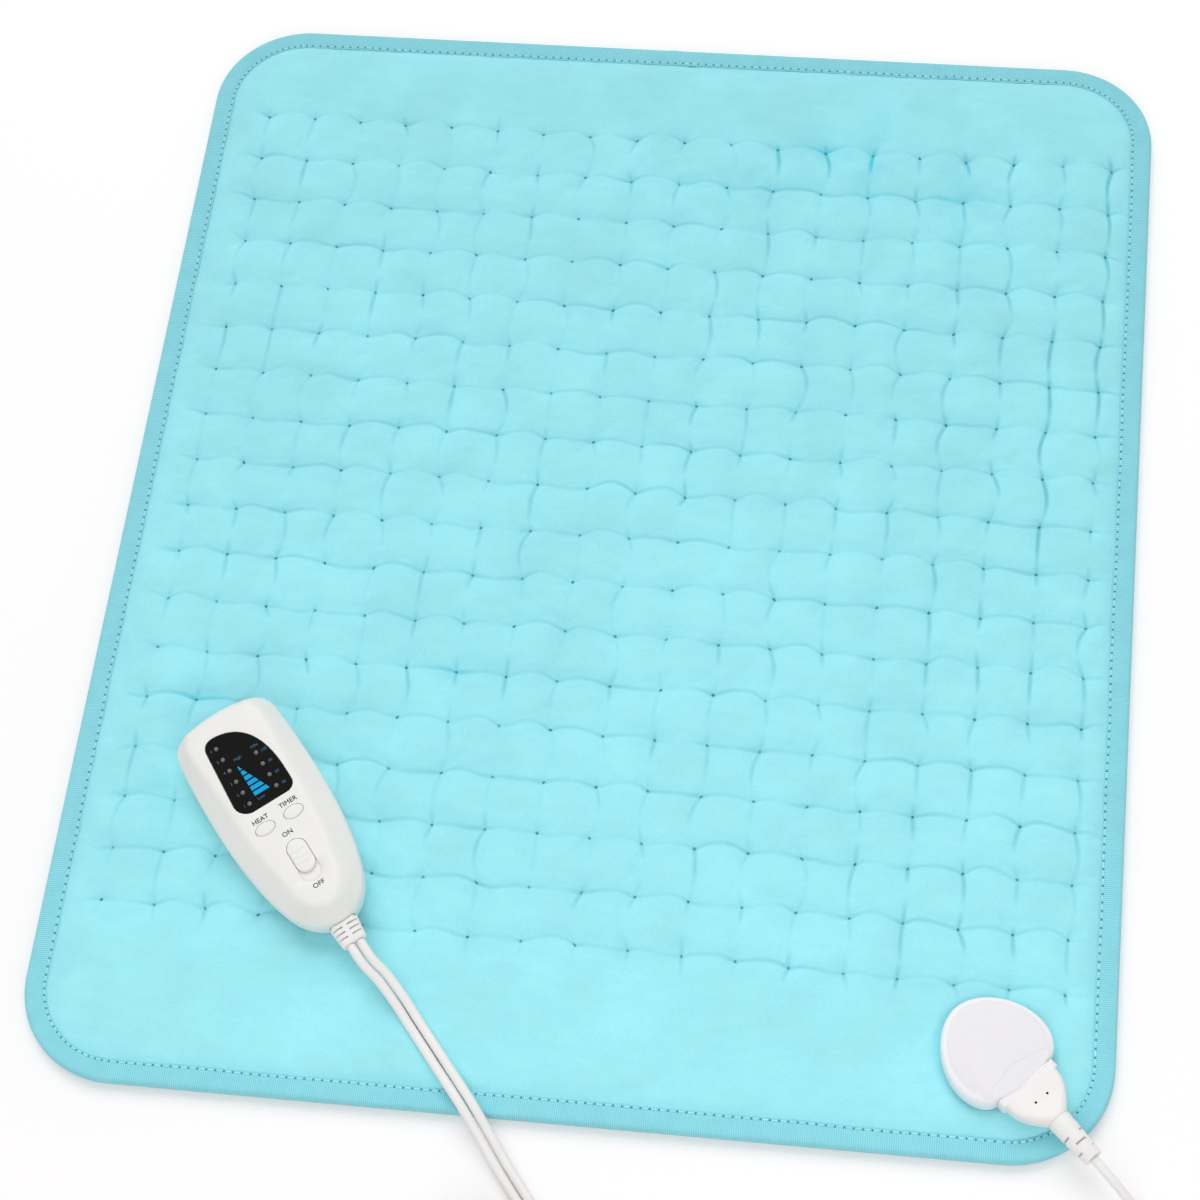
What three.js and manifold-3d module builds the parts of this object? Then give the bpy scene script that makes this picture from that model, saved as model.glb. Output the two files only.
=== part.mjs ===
// Heating pad with a hand controller: a quilted electric pad, a socket sewn on one corner, a plug with
// its lead, and a two-shell controller with a display lens, two buttons and a power slider.
// Millimetres, +Z up. The origin is the middle of the pad's underside, +Y runs along the pad.
import * as THREE from 'three';
import { mergeVertices } from 'three/addons/utils/BufferGeometryUtils.js';
import Module from 'manifold-3d';

const wasm = await Module();
wasm.setup();

// Clearance between touching pieces
const gap = 0.3;

// Pad
const padWidth = 508;
const padLength = 610;
const padCorner = 48;
const padCrown = 12;
const tuftDepth = 4;
const seamDepth = 1.1;
const bandDrop = 2;
const rimThick = 2.9;
const backThick = 2.2;
const tapeThick = 1;
const tapeWidth = 11;
const tapeRound = 1.6;

// Tuft pattern, with its slight slant across the pad
const tuftPitchX = 25.22;
const tuftPitchY = 27.17;
const tuftFromLeft = 29.5;
const tuftFromFront = 87.5;
const tuftLeastRight = 20;
const tuftLeastBack = 58;
const tuftDropPerColumn = 0.38;
const tuftLeanPerRow = 0.22;

// Heating element
const carrierMargin = 34;
const carrierThick = 0.7;
const wireDiameter = 2;
const wireRise = 2.5;
const wireEdge = 3;
const wireReturnGap = 8;

// Controller case
const controllerLength = 127;
const controllerWidth = 56.4;
const controllerCorner = 13;
const controllerArch = 1;
const controllerFromLeft = 111.4;
const controllerFromFront = 130.3;
const controllerTurn = THREE.MathUtils.degToRad(38.1);
const controllerRoll = THREE.MathUtils.degToRad(4);
const rearDepth = 9;
const wallHeight = 4.2;
const controllerHeight = 22;
const caseWall = 2;
const caseTopWall = 2.4;
const chamferWidth = 10;
const chamferAtTop = 3;
const chamferFade = 18;
const caseDraft = 0.3;
const caseSoft = 0.7;
const soleInset = 4;

// Display lens and its lamps
const lensWidth = 30.5;
const lensLength = 43.5;
const lensThick = 1.2;
const lensLedge = 2.2;
const lensSmallCorner = 5;
const lensLowCorner = 7.5;
const lensSweepX = 19;
const lensSweepY = 18;
const lensAt = 25.8;
const lampRadius = 1.15;
const lampDome = 0.7;
const lampPitch = 6.78;
const heatLamps = 6;
const timerLamps = 4;
const lampColumnX = 7.6;
const lampFromLensEnd = 4.8;
const lampShift = -0.3;
const timerLampRaise = 0.9;

// Buttons
const buttonLength = 10;
const buttonDepth = 6.4;
const buttonSpacing = 15.3;
const buttonAt = -6.5;
const buttonLip = 0.9;
const buttonFlange = 1.1;
const buttonProud = 0.35;
const buttonTravel = 0.7;

// Power slider
const sliderLength = 17.8;
const sliderWidth = 9.8;
const sliderTravel = 4;
const sliderPocket = 1.4;
const sliderThick = 1.6;
const sliderStem = 5;
const sliderStemWidth = 3;
const sliderRib = 0.5;
const sliderRibs = 3;
const sliderRibPitch = 3.3;
const sliderAt = -27.8;
const leverThick = 1.4;
const leverWidth = 3;
const leverTall = 3;

// Circuit board and its parts
const boardAt = 12;
const boardThick = 1.6;
const tactSize = 6;
const tactHeight = 3;
const plungerRadius = 1.6;
const plungerTall = 2.5;
const switchLength = 13;
const switchWidth = 6;
const switchHeight = 4;
const postRadius = 2.5;
const capacitorRadius = 4;
const capacitorLength = 14;
const fuseRadius = 2.6;
const fuseLength = 20;
const triacWidth = 10;
const triacLength = 15;
const triacThick = 4.4;
const chipWidth = 6;
const chipLength = 10;
const chipThick = 1.8;

// Case fasteners
const screwHeadRadius = 2.6;
const screwHeadTall = 2;
const screwShank = 1.2;
const screwLength = 12;
const screwSink = 1.2;
const bossWall = 1.3;
const bossFromEnd = 11.5;
const bossFromCordEnd = 17.5;

// Twin strain relief of the controller
const reliefWidth = 14.6;
const reliefHeight = 8.2;
const reliefOut = 11;
const reliefTaper = 2.2;
const reliefNeck = 1;
const reliefFlange = 1.6;
const reliefTail = 4;
const reliefInside = 6.2;
const reliefSlot = 0.9;
const reliefSlotPitch = 2.7;
const reliefSlots = 3;
const clampThick = 2;
const clampDeep = 4;
const clampPost = 1.8;

// Socket on the pad
const connectorFromRight = 41.5;
const connectorFromFront = 35.3;
const connectorTurn = THREE.MathUtils.degToRad(45);
const socketWidth = 51;
const socketLength = 45;
const socketMouth = 34;
const socketBulge = 2.6;
const socketSink = 3.3;
const socketWall = 2;
const socketBasePlate = 1.5;
const socketRim = 3;
const socketLip = 0.6;
const socketLipDepth = 8;
const terminalThick = 1.4;
const terminalWidth = 24;
const terminalLength = 15;
const pinWallThick = 3.5;
const pinRadius = 0.9;
const pinPitch = 7;
const pinReach = 12.5;
const socketScrewRadius = 1;
const socketScrewHead = 2.2;
const socketScrewShare = 0.61;

// Connector plug
const plugThick = 9.6;
const plugLift = 0.5;
const plugCollar = 32;
const plugCollarDeep = 5;
const plugBodyWidth = 29;
const plugBodyLength = 23;
const plugSoft = 1.6;
const tongueWidth = 26;
const tongueThick = 6.2;
const tongueLength = 15;
const sleeveWall = 0.7;
const bootRadius = 5.7;
const bootEndRadius = 4.7;
const bootLength = 23;
const bootSlot = 1;
const bootSlotPitch = 4.4;
const bootSlots = 3;

// Leads
const leadDiameter = 4.5;
const leadSpacing = 4.9;
const coilMean = 26.5;
const coilPitch = 5.2;
const coilLayer = 5.1;
const tieThick = 1;
const tieWidth = 8;
const mainsTurns = 9.357;
const mainsLayers = 4;
const padTurns = 3;
const padLayers = 2;

// Mains plug
const mainsPlugWidth = 25;
const mainsPlugThick = 17;
const mainsPlugLength = 30;
const mainsBootLength = 24;
const bladePitch = 12.7;
const bladeThick = 1.5;
const bladeWide = 6.35;
const bladeLength = 17;
const bladeRoot = 6;

// Facets
const roundSides = 16;
const smallSides = 10;
const leadSides = 8;
const coilSides = 6;
const coilSteps = 24;

// Colours
const plush = '#97e0e9';
const tapeBlue = '#84cfdc';
const feltGrey = '#d8dcdc';
const wireWhite = '#e9e6df';
const caseWhite = '#edece8';
const lensBlack = '#1a1815';
const socketWhite = '#edebee';
const leadWhite = '#ebefec';
const boardGreen = '#2f6b45';
const partBlack = '#26272a';
const lampGrey = '#8d8b88';
const tinned = '#b9bcc0';
const brass = '#c6a75c';

const root = new THREE.Group();

// Geometry helpers

function bare(geometry) {
  const plain = new THREE.BufferGeometry();
  const source = geometry.index ? geometry.toNonIndexed() : geometry;
  plain.setAttribute('position', source.attributes.position.clone());
  const merged = mergeVertices(plain);
  const index = merged.index.array;
  const kept = [];
  for (let i = 0; i < index.length; i += 3) {
    const [a, b, c] = [index[i], index[i + 1], index[i + 2]];
    if (a !== b && b !== c && c !== a) {
      kept.push(a, b, c);
    }
  }
  merged.setIndex(kept);
  return merged;
}

function toSolid(geometry) {
  const plain = bare(geometry);
  const mesh = new wasm.Mesh({
    numProp: 3,
    vertProperties: new Float32Array(plain.attributes.position.array),
    triVerts: new Uint32Array(plain.index.array),
  });
  return new wasm.Manifold(mesh);
}

function toGeometry(solid) {
  const mesh = solid.getMesh();
  const geometry = new THREE.BufferGeometry();
  geometry.setAttribute('position', new THREE.BufferAttribute(mesh.vertProperties, 3));
  geometry.setIndex(new THREE.BufferAttribute(mesh.triVerts, 1));
  geometry.computeVertexNormals();
  return geometry;
}

function cut(base, tools) {
  const left = tools.reduce((solid, tool) => solid.subtract(toSolid(tool)), toSolid(base));
  return toGeometry(left);
}

function join(base, additions) {
  const whole = additions.reduce((solid, extra) => solid.add(toSolid(extra)), toSolid(base));
  return toGeometry(whole);
}

function common(a, b) {
  return toGeometry(toSolid(a).intersect(toSolid(b)));
}

function finish(color, roughness, metalness = 0) {
  return new THREE.MeshStandardMaterial({ color, roughness, metalness });
}

function piece(group, name, geometry, material) {
  const mesh = new THREE.Mesh(geometry, material);
  mesh.name = name;
  group.add(mesh);
}

function box(width, depth, height, x, y, bottom) {
  return new THREE.BoxGeometry(width, depth, height).translate(x, y, bottom + height / 2);
}

function rod(radius, height, x, y, bottom, sides = roundSides) {
  const cylinder = new THREE.CylinderGeometry(radius, radius, height, sides);
  return cylinder.rotateX(Math.PI / 2).translate(x, y, bottom + height / 2);
}

function rodAlongY(radius, length, x, from, z, sides = roundSides) {
  return new THREE.CylinderGeometry(radius, radius, length, sides).translate(x, from + length / 2, z);
}

function prism(shape, height, bottom, curveSegments = 8) {
  const options = { depth: height, bevelEnabled: false, curveSegments };
  return new THREE.ExtrudeGeometry(shape, options).translate(0, 0, bottom);
}

function outlinePoints(shape, divisions) {
  const points = shape.getPoints(divisions);
  const open = points.filter((p, k) => k === 0 || p.distanceTo(points[k - 1]) > 1e-4);
  if (open[0].distanceTo(open[open.length - 1]) < 1e-4) {
    open.pop();
  }
  return open;
}

// Moves each point of a counter-clockwise outline inwards by a distance, or by a distance of the point
function inset(points, distance) {
  const count = points.length;
  return points.map((point, k) => {
    const before = point.clone().sub(points[(k + count - 1) % count]).normalize();
    const after = points[(k + 1) % count].clone().sub(point).normalize();
    const normal = new THREE.Vector2(-before.y - after.y, before.x + after.x).normalize();
    const mitre = Math.max(0.5, -before.y * normal.x + before.x * normal.y);
    const amount = typeof distance === 'function' ? distance(point) : distance;
    return point.clone().addScaledVector(normal, amount / mitre);
  });
}

function ring(points, z) {
  return points.map((point) => new THREE.Vector3(point.x, point.y, z));
}

// Skins a row of rings with equal counts, with caps, or closed on itself when it loops
function loft(rings, loops = false) {
  const count = rings[0].length;
  const points = rings.flat();
  const faces = [];
  const last = loops ? rings.length : rings.length - 1;
  for (let level = 0; level < last; level += 1) {
    const low = level * count;
    const high = ((level + 1) % rings.length) * count;
    for (let k = 0; k < count; k += 1) {
      const next = (k + 1) % count;
      faces.push(low + k, low + next, high + next, low + k, high + next, high + k);
    }
  }
  if (!loops) {
    const middle = (list) => list.reduce((sum, p) => sum.add(p), new THREE.Vector3()).divideScalar(count);
    const base = points.push(middle(rings[0])) - 1;
    const top = points.push(middle(rings[rings.length - 1])) - 1;
    const high = (rings.length - 1) * count;
    for (let k = 0; k < count; k += 1) {
      const next = (k + 1) % count;
      faces.push(base, next, k, top, high + k, high + next);
    }
  }
  const geometry = new THREE.BufferGeometry().setFromPoints(points);
  geometry.setIndex(faces);
  geometry.computeVertexNormals();
  return geometry;
}

function roundedRectangle(left, right, bottom, top, radius) {
  const shape = new THREE.Shape();
  shape.absarc(right - radius, bottom + radius, radius, -Math.PI / 2, 0, false);
  shape.absarc(right - radius, top - radius, radius, 0, Math.PI / 2, false);
  shape.absarc(left + radius, top - radius, radius, Math.PI / 2, Math.PI, false);
  shape.absarc(left + radius, bottom + radius, radius, Math.PI, Math.PI * 1.5, false);
  shape.closePath();
  return shape;
}

function ellipseRing(halfX, halfY, x, y, z, sides) {
  const at = (k) => (k / sides) * Math.PI * 2;
  const points = Array.from({ length: sides }, (_, k) => [Math.cos(at(k)), Math.sin(at(k))]);
  return points.map(([c, s]) => new THREE.Vector3(x + halfX * c, y + halfY * s, z));
}

// A rounded section across the Y axis, for pieces lofted along it
function sectionAlongY(width, height, corner, y, z) {
  const shape = roundedRectangle(-width / 2, width / 2, -height / 2, height / 2, corner);
  return outlinePoints(shape, 2).map((p) => new THREE.Vector3(p.x, y, z + p.y));
}

function tubeSection(diameter, sides) {
  const at = (k) => (k / sides) * Math.PI * 2;
  const points = Array.from({ length: sides }, (_, k) => new THREE.Vector2(Math.cos(at(k)), Math.sin(at(k))));
  return new THREE.Shape(points.map((p) => p.multiplyScalar(diameter / 2)));
}

function tube(path, diameter, sides, steps) {
  return new THREE.ExtrudeGeometry(tubeSection(diameter, sides), { steps, extrudePath: path });
}

// A path that stops at each of its own points in turn
class StationPath extends THREE.Curve {
  constructor(stations) {
    super();
    this.stations = stations;
  }

  getPointAt(share) {
    const place = share * (this.stations.length - 1);
    const from = Math.min(Math.floor(place), this.stations.length - 2);
    return this.stations[from].clone().lerp(this.stations[from + 1], place - from);
  }

  getTangentAt(share) {
    const place = Math.round(share * (this.stations.length - 1));
    const before = this.stations[Math.max(place - 1, 0)];
    const after = this.stations[Math.min(place + 1, this.stations.length - 1)];
    const into = this.stations[place].clone().sub(before).normalize();
    const out = after.clone().sub(this.stations[place]).normalize();
    return into.add(out).normalize();
  }
}

// Pad: layers, quilting and binding

const padOutline = outlinePoints(
  roundedRectangle(-padWidth / 2, padWidth / 2, -padLength / 2, padLength / 2, padCorner),
  4,
);
const rimInset = tapeThick + gap;
const tapeInset = tapeWidth + gap;
const quiltBottom = backThick + gap;
const rimTop = quiltBottom + rimThick;
const tapeTop = rimTop + gap + tapeThick;
const carrierTop = quiltBottom + carrierThick;
const wireAt = carrierTop + gap + wireDiameter / 2;
const pocketTop = wireAt + wireDiameter / 2 + gap;
const socketSeat = padCrown - socketSink;
const tuftColumns = Math.floor((padWidth - tuftFromLeft - tuftLeastRight) / tuftPitchX) + 1;
const tuftRows = Math.floor((padLength - tuftFromFront - tuftLeastBack) / tuftPitchY) + 1;

const connector = new THREE.Group();
connector.position.set(padWidth / 2 - connectorFromRight, connectorFromFront - padLength / 2, 0);
connector.rotation.z = connectorTurn;
connector.updateMatrix();

function tuft(column, row) {
  const x = -padWidth / 2 + tuftFromLeft + column * tuftPitchX + row * tuftLeanPerRow;
  const y = -padLength / 2 + tuftFromFront + row * tuftPitchY - column * tuftDropPerColumn;
  return new THREE.Vector2(x, y);
}

function socketOutline() {
  const half = socketWidth / 2;
  const mouth = socketMouth / 2;
  const wide = socketLength * 0.345;
  const shape = new THREE.Shape();
  shape.moveTo(-mouth, 0);
  shape.quadraticCurveTo(0, -2 * socketBulge, mouth, 0);
  shape.bezierCurveTo(0.86 * half, 0.03 * socketLength, half, 0.18 * socketLength, half, wide);
  shape.bezierCurveTo(half, 0.667 * socketLength, 0.51 * half, socketLength, 0, socketLength);
  shape.bezierCurveTo(-0.51 * half, socketLength, -half, 0.667 * socketLength, -half, wide);
  shape.bezierCurveTo(-half, 0.18 * socketLength, -0.86 * half, 0.03 * socketLength, -mouth, 0);
  return outlinePoints(shape, 7);
}

const pebble = socketOutline();
const pinWallFrom = tongueLength + 2;
const terminalFrom = pinWallFrom + pinWallThick + gap;
const riserPlaces = [-1, 1].map((side) => {
  const place = new THREE.Vector3((side * terminalWidth) / 3, terminalFrom + terminalLength / 2, 0);
  return place.applyMatrix4(connector.matrix);
});
const riserHole = wireDiameter / 2 + 2 * gap;

function quiltedTop() {
  const points = [];
  const faces = [];
  const place = (p, z) => points.push(new THREE.Vector3(p.x, p.y, z)) - 1;
  const total = (list) => list.reduce((sum, p) => sum.add(p), new THREE.Vector2());
  const middle = (...list) => total(list).divideScalar(list.length);
  const columns = [...Array(tuftColumns).keys()];
  const rows = [...Array(tuftRows).keys()];
  const tufts = columns.map((i) => rows.map((j) => place(tuft(i, j), padCrown - tuftDepth)));
  const seamRows = rows.slice(0, -1);
  const seamAt = (i, j) => place(middle(tuft(i, j), tuft(i, j + 1)), padCrown - seamDepth);
  const seams = columns.map((i) => seamRows.map((j) => seamAt(i, j)));
  for (const i of columns.slice(0, -1)) {
    for (const j of seamRows) {
      const corners = [tuft(i, j), tuft(i + 1, j), tuft(i + 1, j + 1), tuft(i, j + 1)];
      const crown = place(middle(...corners), padCrown);
      const right = seams[i + 1][j];
      const loop = [tufts[i][j], tufts[i + 1][j], right, tufts[i + 1][j + 1], tufts[i][j + 1], seams[i][j]];
      loop.forEach((a, k) => faces.push(crown, a, loop[(k + 1) % loop.length]));
    }
  }
  const lastColumn = tuftColumns - 1;
  const lastRow = tuftRows - 1;
  const field = [
    ...columns.map((i) => tufts[i][0]),
    ...seamRows.flatMap((j) => [seams[lastColumn][j], tufts[lastColumn][j + 1]]),
    ...columns.slice(0, -1).reverse().map((i) => tufts[i][lastRow]),
    ...seamRows.slice().reverse().flatMap((j) => (j ? [seams[0][j], tufts[0][j]] : [seams[0][j]])),
  ];
  const strip = (outer, inner) => outer.forEach((a, k) => {
    const next = (k + 1) % outer.length;
    faces.push(a, outer[next], inner[next], a, inner[next], inner[k]);
  });
  const bearing = (k) => (Math.atan2(points[k].y, points[k].x) + 2 * Math.PI) % (2 * Math.PI);
  const fromZero = (loop) => {
    const first = loop.indexOf(loop.reduce((best, k) => (bearing(k) < bearing(best) ? k : best)));
    return [...loop.slice(first), ...loop.slice(0, first)];
  };
  const zip = (outerLoop, innerLoop) => {
    const [outer, inner] = [fromZero(outerLoop), fromZero(innerLoop)];
    const ahead = (loop, k) => {
      const next = k + 1 < loop.length ? bearing(loop[k + 1]) : 2 * Math.PI + bearing(loop[0]);
      return k < loop.length ? next : Infinity;
    };
    let [i, j] = [0, 0];
    while (i < outer.length || j < inner.length) {
      const [a, b] = [outer[i % outer.length], inner[j % inner.length]];
      if (ahead(outer, i) <= ahead(inner, j)) {
        i += 1;
        faces.push(a, outer[i % outer.length], b);
      } else {
        j += 1;
        faces.push(a, inner[j % inner.length], b);
      }
    }
  };
  const innerRim = inset(padOutline, tapeInset + gap);
  const xs = field.map((k) => points[k].x);
  const ys = field.map((k) => points[k].y);
  const between = (edge, fieldEdge) => (edge + fieldEdge) / 2;
  const bandShape = roundedRectangle(
    between(-padWidth / 2 + tapeInset, Math.min(...xs)),
    between(padWidth / 2 - tapeInset, Math.max(...xs)),
    between(-padLength / 2 + tapeInset, Math.min(...ys)),
    between(padLength / 2 - tapeInset, Math.max(...ys)),
    padCorner - tapeInset,
  );
  const band = outlinePoints(bandShape, 4).map((p) => place(p, padCrown - bandDrop));
  zip(band, field);
  const innerTop = innerRim.map((p) => place(p, rimTop));
  const outerTop = inset(padOutline, rimInset).map((p) => place(p, rimTop));
  const outerLow = inset(padOutline, rimInset).map((p) => place(p, quiltBottom));
  const centre = place(new THREE.Vector2(), quiltBottom);
  strip(innerTop, band);
  strip(outerTop, innerTop);
  strip(outerLow, outerTop);
  strip(outerLow.slice().reverse(), outerLow.map(() => centre));
  const geometry = new THREE.BufferGeometry().setFromPoints(points);
  geometry.setIndex(faces);
  const pocketWidth = padWidth - 2 * carrierMargin;
  const pocketLength = padLength - 2 * carrierMargin;
  const pocket = box(pocketWidth, pocketLength, pocketTop - quiltBottom + 1, 0, 0, quiltBottom - 1);
  const seat = prism(new THREE.Shape(inset(pebble, -gap)), padCrown, socketSeat);
  seat.applyMatrix4(connector.matrix);
  const holes = riserPlaces.map((p) => rod(riserHole, padCrown, p.x, p.y, wireAt, smallSides));
  return cut(geometry, [pocket, seat, ...holes]);
}

function backCover() {
  const inner = inset(padOutline, tapeInset);
  const outer = inset(padOutline, rimInset);
  const step = tapeThick + gap;
  return loft([ring(inner, 0), ring(inner, step), ring(outer, step), ring(outer, backThick)]);
}

function edgeBinding() {
  const soft = tapeRound / 3;
  const section = [
    [tapeWidth, 0],
    [tapeRound, 0],
    [soft, soft],
    [0, tapeRound],
    [0, tapeTop - tapeRound],
    [soft, tapeTop - soft],
    [tapeRound, tapeTop],
    [tapeWidth, tapeTop],
    [tapeWidth, tapeTop - tapeThick],
    [tapeThick, tapeTop - tapeThick],
    [tapeThick, tapeThick],
    [tapeWidth, tapeThick],
  ];
  return loft(section.map(([depth, z]) => ring(inset(padOutline, depth), z)), true);
}

// The wire rises from the terminal board, runs to and fro between the tuft rows and comes back
function heatingWire(terminalUnderside) {
  const [start, end] = riserPlaces;
  const bend = tuftPitchY / 2;
  const runs = 2 * Math.floor((tuftRows - 1) / 2);
  const left = -padWidth / 2 + carrierMargin + wireEdge + wireDiameter + bend;
  const right = end.x - wireReturnGap - bend;
  const firstRun = -padLength / 2 + tuftFromFront + bend;
  const runAt = (k) => firstRun + k * tuftPitchY;
  const stations = [];
  const stop = (x, y, z = wireAt) => stations.push(new THREE.Vector3(x, y, z));
  const arc = (x, y, from, to, steps) => {
    for (let k = 1; k < steps; k += 1) {
      const angle = THREE.MathUtils.lerp(from, to, k / steps);
      stop(x + bend * Math.cos(angle), y + bend * Math.sin(angle));
    }
  };
  const riser = (p, up) => {
    const steps = [0, 0.5, 1];
    const order = up ? steps : steps.slice().reverse();
    for (const share of order) {
      const angle = (share * Math.PI) / 2;
      stop(p.x, p.y + wireRise * (1 - Math.sin(angle)), wireAt + wireRise * (1 - Math.cos(angle)));
    }
  };
  stop(start.x, start.y, terminalUnderside - gap);
  riser(start, false);
  stop(start.x, firstRun - bend);
  arc(start.x - bend, firstRun - bend, 0, Math.PI / 2, 3);
  stop(start.x - bend, firstRun);
  for (let k = 0; k < runs - 1; k += 1) {
    const leftwards = k % 2 === 0;
    const x = leftwards ? left : right;
    const turnTo = leftwards ? -Math.PI * 1.5 : Math.PI / 2;
    stop(x, runAt(k));
    arc(x, runAt(k) + bend, -Math.PI / 2, turnTo, 5);
    stop(x, runAt(k + 1));
  }
  stop(end.x - bend, runAt(runs - 1));
  arc(end.x - bend, runAt(runs - 1) - bend, Math.PI / 2, 0, 3);
  stop(end.x, runAt(runs - 1) - bend);
  riser(end, true);
  stop(end.x, end.y, terminalUnderside - gap);
  return tube(new StationPath(stations), wireDiameter, coilSides, stations.length - 1);
}

const socketBaseAt = socketSeat + gap;
const terminalAt = socketBaseAt + socketBasePlate + gap;
const carrierWide = padWidth - 2 * carrierMargin - 2 * gap;
const carrierLong = padLength - 2 * carrierMargin - 2 * gap;

piece(root, 'back_cover', backCover(), finish(plush, 0.95));
const carrier = box(carrierWide, carrierLong, carrierThick, 0, 0, quiltBottom);
piece(root, 'element_carrier', carrier, finish(feltGrey, 0.95));
piece(root, 'heating_wire', heatingWire(terminalAt), finish(wireWhite, 0.6));
piece(root, 'quilted_top', quiltedTop(), finish(plush, 0.95));
piece(root, 'edge_binding', edgeBinding(), finish(tapeBlue, 0.85));

// Socket: a pebble-shaped cover over a base plate, with pins facing the mouth

const plugBottom = padCrown - bandDrop + plugLift;
const plugAxis = plugBottom + plugThick / 2;
const tongueTop = plugAxis + tongueThick / 2;
const socketCeiling = tongueTop + gap;
const socketTop = socketCeiling + socketWall;
const pinLength = pinReach + pinWallThick + 2;
const pinPlaces = { left: -pinPitch, middle: 0, right: pinPitch };
const socketScrewAt = terminalFrom + terminalLength / 2;
const socketScrewTall = socketCeiling - socketBaseAt - 2 * gap;
const socketScrewX = (socketScrewShare * socketWidth) / 2;
const socketScrewPlaces = { left: -socketScrewX, right: socketScrewX };

function socketCover() {
  const edge = socketTop - socketWall;
  const outer = loft([
    ring(inset(pebble, gap * 2), socketBaseAt),
    ring(pebble, socketBaseAt + 1),
    ring(pebble, edge - socketLip * 2),
    ring(inset(pebble, socketRim * 0.35), edge + socketLip),
    ring(inset(pebble, socketRim), socketTop - socketLip / 3),
    ring(inset(pebble, socketRim * 1.4), socketTop),
  ]);
  const inner = loft([
    ring(inset(pebble, socketWall), socketBaseAt - 1),
    ring(inset(pebble, socketWall), edge - socketRim),
    ring(inset(pebble, socketWall + socketRim * 0.6), socketCeiling),
  ]);
  const bossRadius = socketScrewRadius + gap + bossWall;
  const bossFrom = terminalAt;
  const bosses = Object.values(socketScrewPlaces).map((x) => {
    const post = rod(bossRadius, socketCeiling - bossFrom + gap, x, socketScrewAt, bossFrom, smallSides);
    return common(post, outer);
  });
  const shell = join(cut(outer, [inner]), bosses);
  const mouthWide = tongueWidth + 2 * gap;
  const mouthTall = tongueThick + 2 * gap;
  const mouthDeep = socketBulge + socketWall + 4;
  const mouthY = mouthDeep / 2 - socketBulge - 1;
  const mouth = box(mouthWide, mouthDeep, mouthTall, 0, mouthY, plugAxis - mouthTall / 2);
  const lipShape = new THREE.Shape();
  const bendX = socketWidth * 0.3;
  const lipEnd = socketLipDepth * 0.3;
  lipShape.moveTo(-socketWidth, -socketLength);
  lipShape.lineTo(socketWidth, -socketLength);
  lipShape.lineTo(socketWidth, lipEnd);
  lipShape.bezierCurveTo(bendX, lipEnd, bendX, socketLipDepth, 0, socketLipDepth);
  lipShape.bezierCurveTo(-bendX, socketLipDepth, -bendX, lipEnd, -socketWidth, lipEnd);
  const lip = prism(lipShape, socketTop, socketTop - socketLip, 5);
  const holes = Object.values(socketScrewPlaces).map((x) => (
    rod(socketScrewRadius + gap, socketScrewTall, x, socketScrewAt, socketBaseAt, smallSides)
  ));
  return cut(shell, [mouth, lip, ...holes]);
}

function socketBase() {
  const plate = prism(new THREE.Shape(inset(pebble, socketWall + gap)), socketBasePlate, socketBaseAt);
  const wallWide = 2 * pinPitch + 8;
  const wallTall = tongueTop - socketBaseAt;
  const wall = box(wallWide, pinWallThick, wallTall, 0, pinWallFrom + pinWallThick / 2, socketBaseAt);
  const inverse = connector.matrix.clone().invert();
  const risers = riserPlaces.map((p) => p.clone().applyMatrix4(inverse));
  const wireHoles = risers.map((p) => rod(riserHole, padCrown, p.x, p.y, socketBaseAt - 1, smallSides));
  const headSink = socketBasePlate * 0.6;
  const screwHoles = Object.values(socketScrewPlaces).flatMap((x) => [
    rod(socketScrewRadius + gap, padCrown, x, socketScrewAt, socketBaseAt - 1, smallSides),
    rod(socketScrewHead + gap, headSink + 1, x, socketScrewAt, socketBaseAt - 1, smallSides),
  ]);
  const pinBores = Object.values(pinPlaces).map((x) => (
    rodAlongY(pinRadius + gap, pinWallThick + 2, x, pinWallFrom - 1, plugAxis, smallSides)
  ));
  return cut(join(plate, [wall]), [...wireHoles, ...screwHoles, ...pinBores]);
}

function socketScrew(x) {
  const headTall = socketBasePlate * 0.6 - gap;
  const head = rod(socketScrewHead, headTall, x, socketScrewAt, socketBaseAt, smallSides);
  const shank = rod(socketScrewRadius, socketScrewTall - gap, x, socketScrewAt, socketBaseAt, smallSides);
  return join(head, [shank]);
}

const terminalMiddle = terminalFrom + terminalLength / 2;
piece(connector, 'socket_cover', socketCover(), finish(socketWhite, 0.35));
piece(connector, 'socket_base', socketBase(), finish(socketWhite, 0.5));
const terminalBoard = box(terminalWidth, terminalLength, terminalThick, 0, terminalMiddle, terminalAt);
piece(connector, 'terminal_board', terminalBoard, finish(boardGreen, 0.5));
for (const [side, x] of Object.entries(pinPlaces)) {
  const pin = rodAlongY(pinRadius, pinLength, x, pinWallFrom - pinReach, plugAxis, smallSides);
  piece(connector, `contact_pin_${side}`, pin, finish(brass, 0.3, 1));
}
for (const [side, x] of Object.entries(socketScrewPlaces)) {
  piece(connector, `socket_screw_${side}`, socketScrew(x), finish(tinned, 0.35, 1));
}

// Connector plug with its tongue, contact sleeves and slotted boot

const sleeveBore = pinRadius + gap;
const sleeveOuter = sleeveBore + sleeveWall;
const plugBack = -plugBodyLength;

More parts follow.
